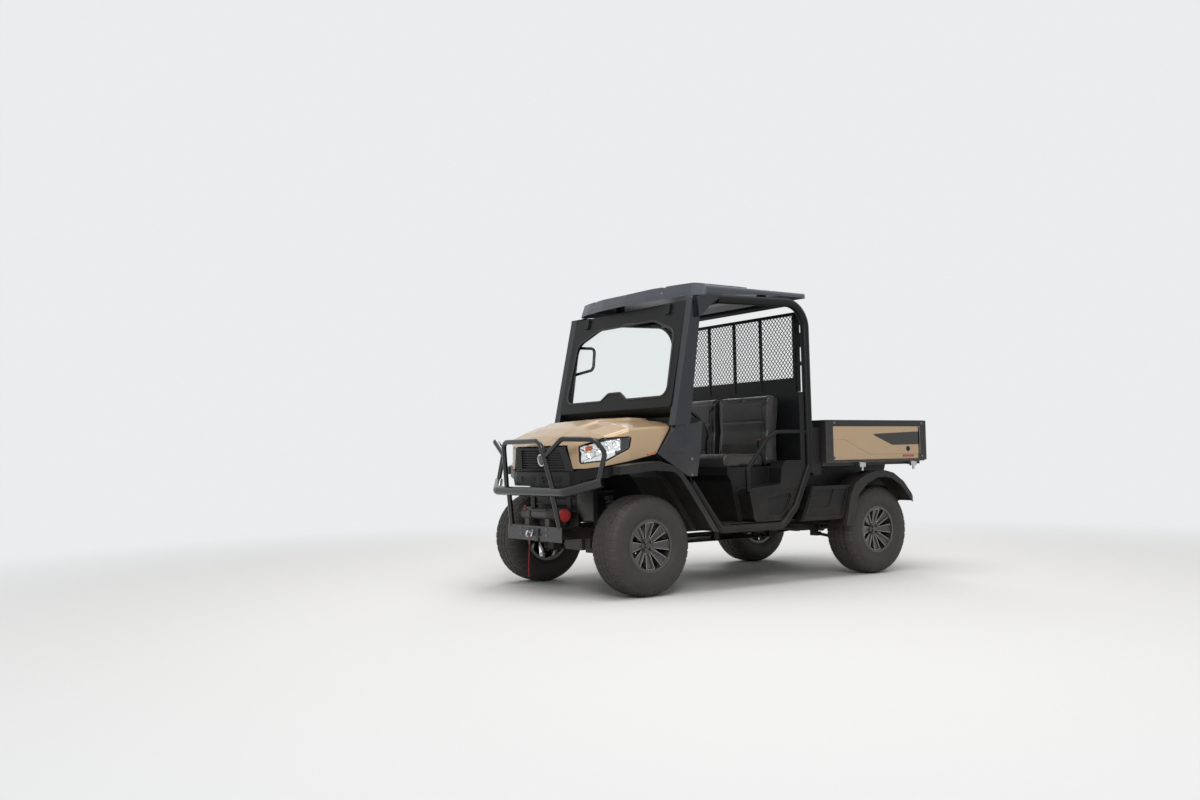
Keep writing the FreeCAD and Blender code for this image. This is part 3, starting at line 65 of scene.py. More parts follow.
# Studio: an overcast pale room. One wide soft lamp overhead, one on the photograph's side and a weak one
# behind, on a matt floor that keeps the vehicle's shadow.
FLOOR_RADIUS = 45.0
FLOOR_SIDES = 96
LAMP_AIM = Vector((0, 0, 0.8))
FLOOR_COLOUR = (0.78, 0.77, 0.75, 1)
ROOM_COLOUR = (0.83, 0.84, 0.85, 1)
FADE_START = 2.2
FADE_END = 7.5
ROOM_LIGHT = 0.5
LAMPS = [  # name, place, side in metres, watts
    ("overhead", (0.5, -0.5, 6.5), 6.0, 270),
    ("front_left", (6.0, -4.5, 4.5), 3.5, 200),
    ("back_right", (-5.5, 4.5, 4.0), 3.0, 130),
]


def joined_mesh(name, points, faces, smooth=True):
    """An object from an array of points and a list of faces, at the origin."""
    mesh = bpy.data.meshes.new(name)
    mesh.from_pydata(np.asarray(points, float).tolist(), [], [tuple(f) for f in faces])
    mesh.polygons.foreach_set("use_smooth", [smooth] * len(mesh.polygons))
    mesh.update()
    piece = bpy.data.objects.new(name, mesh)
    bpy.context.scene.collection.objects.link(piece)
    return piece


def new_material(name, colour=(0.8, 0.8, 0.8, 1), rough=0.5, **sockets):
    """A material with a Principled shader, whose plain values sit on its own sockets."""
    made = bpy.data.materials.new(name)
    made.use_nodes = True
    shader = made.node_tree.nodes["Principled BSDF"]
    shader.inputs["Base Color"].default_value = colour
    shader.inputs["Roughness"].default_value = rough
    for socket, value in sockets.items():
        shader.inputs[socket.replace("_", " ")].default_value = value
    return made


def chained(parts, kind, links=None, **values):
    """A node of a kind whose inputs are fed by links or set to plain values."""
    node = parts.nodes.new(kind)
    for key, value in values.items():
        setattr(node, key, value)
    for key, source in (links or {}).items():
        if isinstance(source, bpy.types.NodeSocket):
            parts.links.new(source, node.inputs[key])
        else:
            node.inputs[key].default_value = source
    return node


def reckoned(parts, operation, first, second, **values):
    """The result of a sum, product or comparison of two numbers or sockets."""
    return chained(parts, "ShaderNodeMath", {0: first, 1: second}, operation=operation, **values).outputs[0]


def ranged(parts, value, from_min=0.0, from_max=1.0, to_min=0.0, to_max=1.0, **values):
    """A value carried in a straight line from one range to another and held at its ends."""
    links = {"Value": value, "From Min": from_min, "From Max": from_max, "To Min": to_min, "To Max": to_max}
    return chained(parts, "ShaderNodeMapRange", links, **values).outputs["Result"]


def mixed(parts, share, first, second, kind="RGBA"):
    """Two colours or numbers mixed: the first times one less the share, and the second times the share."""
    links = {"Factor": share, "A": first, "B": second}
    return chained(parts, "ShaderNodeMix", links, data_type=kind).outputs["Result"]


def object_place(parts):
    """The place on the piece itself, in metres."""
    return chained(parts, "ShaderNodeTexCoord").outputs["Object"]


def seen_rays(parts):
    """The light path, and 1 for rays that come from the camera or off a gloss."""
    rays = chained(parts, "ShaderNodeLightPath").outputs
    return rays, reckoned(parts, "MAXIMUM", rays["Is Camera Ray"], rays["Is Glossy Ray"])


def fed(material, socket, source):
    """Feeds one socket of a material's Principled shader."""
    material.node_tree.links.new(source, material.node_tree.nodes["Principled BSDF"].inputs[socket])


angles = np.linspace(0, 2 * math.pi, FLOOR_SIDES, endpoint=False)
floor_points = np.stack([FLOOR_RADIUS * np.cos(angles), FLOOR_RADIUS * np.sin(angles), 0 * angles], 1)
floor = joined_mesh("floor", floor_points, [range(len(angles))])
floor_paint = new_material("floor_paint", FLOOR_COLOUR, 0.9)
floor.data.materials.append(floor_paint)
fade_tree = floor_paint.node_tree
reach = chained(fade_tree, "ShaderNodeVectorMath", {0: object_place(fade_tree)}, operation="LENGTH")
share = ranged(fade_tree, reach.outputs["Value"], FADE_START, FADE_END, interpolation_type="SMOOTHSTEP")
shown = reckoned(fade_tree, "MULTIPLY", share, seen_rays(fade_tree)[1])
glow = chained(fade_tree, "ShaderNodeEmission", {"Color": ROOM_COLOUR})
matt = fade_tree.nodes["Principled BSDF"]
both = chained(fade_tree, "ShaderNodeMixShader", {"Fac": shown, 1: matt.outputs["BSDF"], 2: glow.outputs["Emission"]})
fade_tree.links.new(both.outputs["Shader"], fade_tree.nodes["Material Output"].inputs["Surface"])

for name, place, side, watts in LAMPS:
    light = bpy.data.lights.new(name, "AREA")
    light.shape = "DISK"
    light.size = side
    light.energy = watts
    lamp = bpy.data.objects.new(name, light)
    lamp.location = place
    lamp.rotation_euler = (LAMP_AIM - Vector(place)).to_track_quat("-Z", "Y").to_euler()
    bpy.context.scene.collection.objects.link(lamp)

world = bpy.data.worlds.new("studio")
bpy.context.scene.world = world
world.use_nodes = True
tree = world.node_tree
rays, seen = seen_rays(tree)
shown = reckoned(tree, "MAXIMUM", seen, rays["Is Transmission Ray"])
tree.nodes["Background"].inputs["Color"].default_value = ROOM_COLOUR
tree.links.new(ranged(tree, shown, to_min=ROOM_LIGHT), tree.nodes["Background"].inputs["Strength"])
bpy.context.scene.view_settings.view_transform = "Standard"

# Red pull strap of the winch hook: woven polyester webbing, doubled and hanging free from the hook's ring.
# It follows the route of its solid, as one smooth line.
STRAP_ROUTE = [(0.000, -1.472, 0.3576), (0.005, -1.475, 0.280), (-0.004, -1.478, 0.190), (0.002, -1.480, 0.108)]
STRAP_WIDTH = 0.020
STRAP_THICKNESS = 0.003

webbing = new_material("red_webbing", (0.52, 0.012, 0.02, 1), 0.8, Sheen_Weight=0.3)
weave = chained(webbing.node_tree, "ShaderNodeTexWave",
                {"Scale": 90.0, "Vector": object_place(webbing.node_tree)}, bands_direction="Z")
weave_bump = chained(webbing.node_tree, "ShaderNodeBump", {"Strength": 0.6, "Distance": 0.001,
                                                           "Height": weave.outputs["Fac"]})
fed(webbing, "Normal", weave_bump.outputs["Normal"])

strap_curve = bpy.data.curves.new("pull_strap", "CURVE")
strap_curve.dimensions = "3D"
line = strap_curve.splines.new("NURBS")
line.points.add(len(STRAP_ROUTE) - 1)
for point, place in zip(line.points, STRAP_ROUTE):
    point.co = (*place, 1)
line.order_u = 3
line.use_endpoint_u = True
strap_curve.extrude = STRAP_WIDTH / 2 - STRAP_THICKNESS / 2
strap_curve.bevel_depth = STRAP_THICKNESS / 2
strap_curve.bevel_resolution = 2
strap_curve.use_fill_caps = True
strap_curve.materials.append(webbing)
strap = bpy.data.objects.new("pull_strap", strap_curve)
bpy.context.scene.collection.objects.link(strap)
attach(strap, "chassis")
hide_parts("hook_strap")

# Powder-coated steel: the ladder frame, arms, brackets, cage, guard, screens and bed posts are welded tube and
# sheet, sprayed satin black and baked. Corners show a little wear, and road dust settles on the low parts.


def effect_group(name, inputs, outputs):
    """A shader node group with named sockets, given as rows of name, kind and value."""
    group = bpy.data.node_groups.new(name, "ShaderNodeTree")
    for label, kind, value in inputs:
        socket = group.interface.new_socket(label, in_out="INPUT", socket_type="NodeSocket" + kind)
        socket.default_value = value
    for label, kind in outputs:
        group.interface.new_socket(label, in_out="OUTPUT", socket_type="NodeSocket" + kind)
    return group, group.nodes.new("NodeGroupInput"), group.nodes.new("NodeGroupOutput")


# Soft corners: every corner of a moulding or a fold is slightly round, and the surface has a fine grain.
# The mask is how far the rounded normal leans from the flat one, so it is bright only at corners. Finishes mix a
# lighter corner colour in by it, which is partly wear and partly a painted highlight.
soft_edge, feed, result = effect_group(
    "soft_edge", [("Radius", "Float", 0.002), ("Grain Scale", "Float", 400.0), ("Grain", "Float", 0.1),
                  ("Depth", "Float", 0.001)], [("Normal", "Vector"), ("Wear And Highlight", "Float"), ("Grain Mask", "Float")])
rounding = chained(soft_edge, "ShaderNodeBevel", {"Radius": feed.outputs["Radius"]}, samples=6)
flat = chained(soft_edge, "ShaderNodeNewGeometry")
lean = chained(soft_edge, "ShaderNodeVectorMath", {0: rounding.outputs["Normal"], 1: flat.outputs["Normal"]},
               operation="DOT_PRODUCT")
grain = chained(soft_edge, "ShaderNodeTexNoise", {"Vector": object_place(soft_edge),
                                                  "Scale": feed.outputs["Grain Scale"], "Detail": 3.0})
relief = chained(soft_edge, "ShaderNodeBump", {"Strength": feed.outputs["Grain"], "Distance": feed.outputs["Depth"],
                                               "Height": grain.outputs["Fac"],
                                               "Normal": rounding.outputs["Normal"]})
soft_edge.links.new(relief.outputs["Normal"], result.inputs["Normal"])
soft_edge.links.new(ranged(soft_edge, lean.outputs["Value"], 0.995, 0.82), result.inputs["Wear And Highlight"])
soft_edge.links.new(grain.outputs["Fac"], result.inputs["Grain Mask"])

# Road dust: pale soil that clings below a height and thins upwards in patches, and lies on level tops.
road_dust, feed, result = effect_group(
    "road_dust", [("Colour", "Color", (0, 0, 0, 1)), ("Dust", "Color", (0.30, 0.235, 0.17, 1)),
                  ("Amount", "Float", 0.3), ("Full Below", "Float", 0.1), ("None Above", "Float", 0.8),
                  ("On Tops", "Float", 0.1), ("Patch Scale", "Float", 9.0)],
    [("Colour", "Color"), ("Mask", "Float")])
place = object_place(road_dust)
split = chained(road_dust, "ShaderNodeSeparateXYZ", {0: place})
low = ranged(road_dust, split.outputs["Z"], feed.outputs["None Above"], feed.outputs["Full Below"])
patches = chained(road_dust, "ShaderNodeTexNoise", {"Vector": place, "Scale": feed.outputs["Patch Scale"],
                                                    "Detail": 8.0, "Roughness": 0.65})
cloud = ranged(road_dust, patches.outputs["Fac"], 0.32, 0.72, 0.15)
facing = chained(road_dust, "ShaderNodeNewGeometry")
upward = chained(road_dust, "ShaderNodeSeparateXYZ", {0: facing.outputs["Normal"]})
level = ranged(road_dust, upward.outputs["Z"], 0.7, 1.0, 0.0, feed.outputs["On Tops"])
spread = reckoned(road_dust, "MULTIPLY", low, feed.outputs["Amount"])
mask = reckoned(road_dust, "MULTIPLY", reckoned(road_dust, "ADD", spread, level), cloud, use_clamp=True)
road_dust.links.new(mixed(road_dust, mask, feed.outputs["Colour"], feed.outputs["Dust"]), result.inputs["Colour"])
road_dust.links.new(mask, result.inputs["Mask"])

DUSTY_ROUGHNESS = 0.92


def opaque(colour):
    """Red, green and blue, or one grey, with full alpha."""
    return (*((colour,) * 3 if isinstance(colour, float) else colour), 1)


def finished(name, colour, wear_and_highlight, rough, edge, dust, fleck=0.0, **sockets):
    """A coated or moulded surface: soft corners in a lighter colour that is partly wear and partly a painted
    highlight, grain, a blotchy gloss and dust. The edge is radius, grain scale, grain and depth, and the dust is
    amount, full below, none above, share on level tops, and where they differ patch scale and colour."""
    colour, wear_and_highlight = opaque(colour), opaque(wear_and_highlight)
    made = new_material(name, colour, rough, **sockets)
    parts = made.node_tree
    labels = ("Radius", "Grain Scale", "Grain", "Depth")
    corners = chained(parts, "ShaderNodeGroup", dict(zip(labels, edge)), node_tree=soft_edge).outputs
    labels = ("Colour", "Amount", "Full Below", "None Above", "On Tops", "Patch Scale", "Dust")
    # Painted highlight and wear: the corners take the lighter colour where the soft_edge mask is bright.
    wear_and_highlight_tint = mixed(parts, corners["Wear And Highlight"], colour, wear_and_highlight)
    soil = chained(parts, "ShaderNodeGroup", dict(zip(labels, (wear_and_highlight_tint, *dust))), node_tree=road_dust).outputs
    gloss = ranged(parts, corners["Grain Mask"], 0.3, 0.7, rough - fleck, rough + fleck)
    fed(made, "Base Color", soil["Colour"])
    fed(made, "Roughness", mixed(parts, soil["Mask"], gloss, DUSTY_ROUGHNESS, "FLOAT"))
    fed(made, "Normal", corners["Normal"])
    return made


def own_colour(material):
    """The socket that a finish's colour comes from."""
    return material.node_tree.nodes["Principled BSDF"].inputs["Base Color"].links[0].from_socket


def past(parts, axis, limit, operation="GREATER_THAN"):
    """1 where the piece's own place is past a limit along an axis, else 0."""
    split = chained(parts, "ShaderNodeSeparateXYZ", {0: object_place(parts)})
    return reckoned(parts, operation, split.outputs[axis], limit)


def blotched(material, fog, low, high, from_min=0.0, from_max=1.0):
    """A roughness that wanders between two values with a noise."""
    fed(material, "Roughness", ranged(material.node_tree, fog.outputs["Fac"], from_min, from_max, low, high))


def dressed(material, *names):
    """Gives CAD nodes their finish."""
    for name in names:
        mesh = nodes[name].data
        mesh.materials.clear()
        mesh.materials.append(material)


powder_coat = finished("satin_powder_coat", (0.0065, 0.0068, 0.0076), 0.05, 0.38, (0.0015, 700, 0.12, 0.0004),
                       (0.16, 0.2, 0.6, 0.02), 0.05, Specular_IOR_Level=0.22)
dressed(powder_coat, "frame", "hitch_receiver", "suspension_arms", "hip_guards", "rops_frame", "rear_screen",
        "windscreen_frame")
guard_coat = finished("guard_gloss_coat", (0.005, 0.0052, 0.006), 0.03, 0.2, (0.0015, 260, 0.05, 0.0004),
                      (0.08, 0.25, 0.6, 0.02), 0.04, Coat_Weight=0.3, Coat_Roughness=0.15)
dressed(guard_coat, "brush_guard")

# Castings under the body: engine block, gear cases, knuckles and hubs are cast iron and aluminium, dull, with the
# sand's grain and a film of oil and dust. The rack, the lift rod and the bed latches are plated steel.
casting = finished("sand_casting", (0.075, 0.078, 0.082), 0.2, 0.55, (0.002, 320, 0.35, 0.0008),
                   (0.55, 0.2, 0.8, 0.15), 0.1, Metallic=0.55)
dressed(casting, "engine_block", "driveline", "rear_hubs", "knuckle_left", "knuckle_right")
zinc = finished("zinc_plate", (0.48, 0.49, 0.50), 0.7, 0.34, (0.001, 160, 0.12, 0.0005), (0.3, 0.2, 0.7, 0.05),
                0.08, Metallic=1.0)
dressed(zinc, "steering_rack", "lift_rod", "bed_latches")
dressed(powder_coat, "lift_cylinder")

# Shock absorbers: a black damper with a wound spring steel coil between two seats. The coil is one round wire
# carried along a helix whose turns close up flat at both ends.
SHOCK_ENDS = [((side * 0.400, y, 0.262), (side * 0.305, y, top))  # foot, top
              for y, top in ((-1.051, 0.640), (0.994, 0.660)) for side in (1, -1)]
COIL_TURNS = 7.0
WIRE_RADIUS = 0.0052
COIL_RADIUS = 0.0240


def carried_ring(path, across, other, radius, sides):
    """A round tube: at each path point a circle of a radius in the plane of two given unit vectors."""
    turn = np.linspace(0, 2 * math.pi, sides, endpoint=False)
    radius = np.broadcast_to(np.asarray(radius, float), (len(path),))
    ring = (across[:, None, :] * np.cos(turn)[None, :, None] + other[:, None, :] * np.sin(turn)[None, :, None])
    return (path[:, None, :] + ring * radius[:, None, None]).reshape(-1, 3)


def grid_faces(rows, columns, close_rows=False, close_columns=False):
    """Quads of a grid of rows by columns, joined end to end where it is closed."""
    i, j = np.meshgrid(np.arange(rows if close_rows else rows - 1),
                       np.arange(columns if close_columns else columns - 1), indexing="ij")
    a = i * columns + j
    b = i * columns + (j + 1) % columns
    c = (i + 1) % rows * columns + (j + 1) % columns
    d = (i + 1) % rows * columns + j
    return np.stack([a, d, c, b], -1).reshape(-1, 4).tolist()


def closed_tube(path, across, other, radius, sides):
    """A round tube carried along a path and closed at both ends."""
    points = carried_ring(path, across, other, radius, sides)
    caps = [list(range(sides)), list(range(len(points) - sides, len(points)))[::-1]]
    return points, grid_faces(len(path), sides, close_columns=True) + caps


def frames_along(path):
    """Two unit vectors square to a path at each point, kept as level as the path allows."""
    along = np.gradient(path, axis=0)
    along /= np.linalg.norm(along, axis=1)[:, None]
    side = np.cross(along, (0.0, 0.0, 1.0))
    side[np.linalg.norm(side, axis=1) < 1e-4] = (1.0, 0.0, 0.0)
    side /= np.linalg.norm(side, axis=1)[:, None]
    return side, np.cross(side, along)


def flipped(faces, when=True):
    """Faces with their front side turned to the other side, where that is asked."""
    return [f[::-1] for f in faces] if when else faces


def turned_shape(foot, axis, profile, sides=40):
    """A solid of revolution: rows of distance along an axis from its foot, and radius, closed at both ends."""
    foot, axis = np.asarray(foot, float), np.asarray(axis, float)
    axis = axis / np.linalg.norm(axis)
    helper = (0.0, 1.0, 0.0) if abs(axis[1]) < 0.9 else (1.0, 0.0, 0.0)
    side = np.cross(axis, helper)
    side /= np.linalg.norm(side)
    other = np.cross(axis, side)
    profile = np.asarray(profile, float)
    path = foot + axis * profile[:, :1]
    rows = len(profile)
    points = carried_ring(path, np.tile(side, (rows, 1)), np.tile(other, (rows, 1)), profile[:, 1], sides)
    caps = [list(range(sides))[::-1], list(range((rows - 1) * sides, rows * sides))]
    return points, flipped(grid_faces(rows, sides, close_columns=True)) + caps


def stacked(shapes):
    """Several point and face sets as one."""
    points, faces, base = [], [], 0
    for some, quads in shapes:
        points.append(np.asarray(some, float))
        faces += [[k + base for k in f] for f in quads]
        base += len(some)
    return np.concatenate(points), faces


def kept(name, points, faces, body, material, slot, smooth=True, sharp=None):
    """A new piece that rides on a body; its slot is not used. Edges over a given angle in degrees stay sharp."""
    piece = joined_mesh(name, points, faces, smooth)
    piece.data.materials.append(material)
    if sharp:
        piece.data.set_sharp_from_angle(angle=math.radians(sharp))
    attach(piece, body)
    return piece


damper_paint = finished("damper_paint", (0.016, 0.016, 0.017), 0.08, 0.35, (0.001, 500, 0.1, 0.0003),
                        (0.45, 0.3, 0.7, 0.1), 0.06)
coil_paint = finished("coil_paint", (0.020, 0.020, 0.022), 0.12, 0.3, (0.001, 500, 0.1, 0.0003),
                      (0.35, 0.3, 0.7, 0.1), 0.05)
dampers, coils = [], []
for foot, top in SHOCK_ENDS:
    foot, top = np.array(foot), np.array(top)
    axis = top - foot
    length = float(np.linalg.norm(axis))
    axis /= length
    profile = [(0.0, 0.013), (0.05 * length, 0.014), (0.5 * length, 0.014), (0.515 * length, 0.0285),
               (0.535 * length, 0.0295), (0.545 * length, 0.0295), (0.55 * length, 0.017),
               (0.76 * length, 0.017), (0.765 * length, 0.008), (0.925 * length, 0.008),
               (0.93 * length, 0.0285), (0.948 * length, 0.0285), (0.955 * length, 0.012), (length, 0.010)]
    dampers.append(turned_shape(foot, axis, profile, 32))
    side = np.cross(axis, (0.0, 1.0, 0.0))
    side /= np.linalg.norm(side)
    other = np.cross(axis, side)
    turn = np.linspace(0, COIL_TURNS * 2 * math.pi, int(COIL_TURNS * 28))
    share = turn / turn[-1]
    rise = np.interp(share, [0, 0.11, 0.89, 1], [0, 0.03, 0.97, 1])
    start, end = 0.545 * length + WIRE_RADIUS, 0.93 * length - WIRE_RADIUS
    across = side * np.cos(turn)[:, None] + other * np.sin(turn)[:, None]
    path = foot + axis * (start + (end - start) * rise)[:, None] + COIL_RADIUS * across
    along = np.gradient(path, axis=0)
    along /= np.linalg.norm(along, axis=1)[:, None]
    coils.append(closed_tube(path, across, np.cross(along, across), WIRE_RADIUS, 10))
damper_set = kept("shock_dampers", *stacked(dampers), "chassis", damper_paint, "black_steel")
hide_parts("shock_absorbers")
kept("shock_coils", *stacked(coils), "chassis", coil_paint, "black_steel")

# Tyres: moulded rubber on a carcass, wider than tall in section, with three grooves round the tread and slots
# across it. Each block edge, the shoulder lugs and two sidewall rings are in the mesh; soil lies in the grooves.
WHEELS = [(end + "_" + hand, (side * x, y, 0.3175), side)  # name, centre, outward side
          for end, x, y in (("front", 0.605, -1.020), ("rear", 0.627, 1.025))
          for hand, side in (("left", 1), ("right", -1))]
TREAD_PITCHES = 36
TREAD_PHASES = np.array([0.0, 0.02, 0.08, 0.10, 0.17, 0.19, 0.31, 0.43, 0.55, 0.67, 0.79, 0.90])
TREAD_X = np.array([0, 3.6, 5.2, 10, 18, 27, 34, 36.8, 38.4, 45.6, 47.2, 55, 63, 71, 79, 85, 91, 97, 102]) / 1000
SIDEWALL_R = np.array([299, 294, 289, 284, 279, 276, 270, 264, 262.5, 261, 256, 246, 236, 226, 216, 206, 198, 192,
                       190, 187, 185, 179, 177, 173, 168.4]) / 1000
HALF_GROOVE = 0.0037
OUTER_GROOVE = (0.0383, 0.0457)
CROWN_EDGE = 0.081
GROOVE_DEPTH, SIPE_DEPTH, LUG_DEPTH = 0.0068, 0.0040, 0.0062


def tyre_mesh(centre, side):
    """A grid of tread angle by profile: radius falls with the square of x over the crown, then a straight
    shoulder, then a sidewall whose bulge is half a sine wave of the radius, less the grooves and slots."""
    crown = 0.3171 - 0.0048 * (np.minimum(TREAD_X, CROWN_EDGE) / CROWN_EDGE) ** 2
    crown -= np.maximum(TREAD_X - CROWN_EDGE, 0) * 0.62
    wall = 0.1030 + 0.0238 * np.sin(math.pi * np.clip((SIDEWALL_R - 0.160) / 0.146, 0, 1)) ** 0.85
    wall[:5] = np.interp(SIDEWALL_R[:5], [0.279, 0.299], [wall[5] - 0.001, 0.1035])
    ring = np.isin(np.round(SIDEWALL_R * 1000, 1), [190, 187, 262.5])
    wall = wall + np.where(ring, 0.0014, 0.0)
    wall = np.minimum(wall, 0.1268)
    half_x = np.concatenate([TREAD_X, wall, [0.1031, 0.1026]])
    half_r = np.concatenate([crown, SIDEWALL_R, [0.1682, 0.1603]])
    x = np.concatenate([-half_x[:0:-1], half_x])
    radius = np.concatenate([half_r[:0:-1], half_r])
    away = np.abs(x)
    on_tread = radius > 0.2755
    shift = np.where(away < HALF_GROOVE, 0.25 * x / HALF_GROOVE, 0.25 * np.sign(x))
    shift += np.clip((away - 0.005) / 0.032, 0, 1) * 0.42 * np.sign(x)
    shift += np.clip((away - 0.037) / 0.010, 0, 1) * 0.30 * np.sign(x) + np.clip(away - 0.047, 0, 0.055) * 2.0
    phase = (np.arange(TREAD_PITCHES)[:, None] + TREAD_PHASES[None, :]).reshape(-1)
    slot_phase = np.tile(TREAD_PHASES, TREAD_PITCHES)
    angle = (phase[None, :] + shift[:, None]) * (2 * math.pi / TREAD_PITCHES)
    groove = (away < HALF_GROOVE) | ((away > OUTER_GROOVE[0]) & (away < OUTER_GROOVE[1]))
    sipe = (away > 0.0051) & (away < 0.0369)
    lug = (away > 0.0471) & on_tread
    fade = np.clip((radius - 0.274) / 0.012, 0, 1)
    depth = np.where(groove, GROOVE_DEPTH, 0.0)[:, None] * np.ones_like(slot_phase)[None, :]
    depth += np.where(sipe, SIPE_DEPTH, 0.0)[:, None] * ((slot_phase > 0.01) & (slot_phase < 0.09))[None, :]
    depth += (np.where(lug, LUG_DEPTH, 0.0) * fade)[:, None] * ((slot_phase > 0.01) & (slot_phase < 0.18))[None, :]
    inward = np.where(away > 0.1, np.clip((away - 0.085) / 0.03, 0, 1), 0.0)
    r = radius[:, None] - depth * (1 - inward)[:, None]
    across = x[:, None] - np.sign(x)[:, None] * depth * inward[:, None]
    points = np.stack([centre[0] + side * across, centre[1] + r * np.cos(angle), centre[2] + r * np.sin(angle)], -1)
    faces = flipped(grid_faces(len(x), len(phase), close_columns=True), side > 0)
    soil = np.clip(depth / LUG_DEPTH, 0, 1).reshape(-1)
    return points.reshape(-1, 3), faces, soil


tread_rubber = finished("tread_rubber", (0.019, 0.0185, 0.018), (0.036, 0.034, 0.031), 0.62,
                        (0.0012, 420, 0.25, 0.0005), (0.13, 2, 3, 0, 6, (0.17, 0.135, 0.10, 1)), 0.08)
rubber_parts = tread_rubber.node_tree
soil_mark = chained(rubber_parts, "ShaderNodeAttribute", attribute_name="soil")
in_grooves = reckoned(rubber_parts, "MULTIPLY", soil_mark.outputs["Fac"], 0.35)
fed(tread_rubber, "Base Color", mixed(rubber_parts, in_grooves, own_colour(tread_rubber), (0.20, 0.155, 0.11, 1)))

for name, centre, side in WHEELS:
    points, faces, soil = tyre_mesh(centre, side)
    tyre = kept("tyre_tread_" + name, points, faces, "wheel_" + name, tread_rubber, "tyre", sharp=32)
    tyre.data.attributes.new("soil", "FLOAT", "POINT").data.foreach_set("value", soil)
    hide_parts("tyre_" + name)

# Wheels: cast aluminium rims, gloss black, with the edges of their paired spokes machined bright after painting.
# Four black chrome nuts and a centre cap hold and close each one; a valve stands at the barrel.
SPOKE_PAIRS = 8
NUT_CIRCLE = 0.031
SPOKE_FACE = ((0.047, 0.0095, 0.0071, 0.0706), (0.1445, 0.0253, 0.0080, 0.0988))  # reach, offset, half, face
EDGE_IN, SUNK = 0.0015, 0.0002  # how far the bright strip lies in from the spoke's side and under its face
STRIP_HEIGHT = 0.0014
WEB_BACK = 0.006
RIM_LIP = np.array([(0.1045, 0.1668), (0.1081, 0.1668), (0.1084, 0.1640), (0.1084, 0.1585), (0.1078, 0.1570),
                    (0.1045, 0.1570)])  # out from the wheel's centre, radius
gloss_black = finished("rim_gloss_black", (0.006, 0.0065, 0.008), 0.03, 0.18, (0.0015, 500, 0.04, 0.0003),
                       (0.16, 2, 3, 0), 0.05, Coat_Weight=0.6, Coat_Roughness=0.08)
machined = finished("machined_aluminium", (0.40, 0.41, 0.44), 0.6, 0.26, (0.0006, 900, 0.15, 0.0002),
                    (0.14, 2, 3, 0), 0.06, Metallic=1.0)
black_chrome = finished("black_chrome", (0.10, 0.10, 0.11), 0.3, 0.2, (0.0006, 300, 0.05, 0.0002), (0.15, 2, 3, 0),
                        0.05, Metallic=1.0)
plated = finished("zinc_fastener", (0.20, 0.205, 0.21), (0.42, 0.42, 0.43), 0.42, (0.0006, 300, 0.1, 0.0002),
                  (0.25, 0.3, 1, 0.1), 0.08, Metallic=1.0)
BOX_FACES = [[3, 2, 1, 0], [4, 5, 6, 7], [0, 1, 5, 4], [1, 2, 6, 5], [2, 3, 7, 6], [3, 0, 4, 7]]


def bar_between(start, end, width_way, width, height):
    """A flat bar from start to end: its width lies along a given direction and its height square to both."""
    start, end, width_way = (np.asarray(v, float) for v in (start, end, width_way))
    along = (end - start) / np.linalg.norm(end - start)
    width_way = width_way - along * (width_way @ along)
    width_way /= np.linalg.norm(width_way)
    rise = np.cross(along, width_way)
    corners = [(-1, -1), (1, -1), (1, 1), (-1, 1)]
    points = [p + width_way * (a * width / 2) + rise * (b * height / 2) for p in (start, end) for a, b in corners]
    return np.array(points), BOX_FACES


def hex_head(place, axis, across_flats, height):
    """A hexagon bolt head on its flange: a six-sided prism with a chamfered top, on a disc a quarter wider."""
    r = across_flats / math.sqrt(3)
    flange = turned_shape(place, axis, [(-0.001, r * 1.25), (height * 0.18, r * 1.25), (height * 0.2, r)], 18)
    head = turned_shape(place, axis, [(height * 0.15, r), (height * 0.88, r), (height, r * 0.86)], 6)
    return stacked([flange, head])


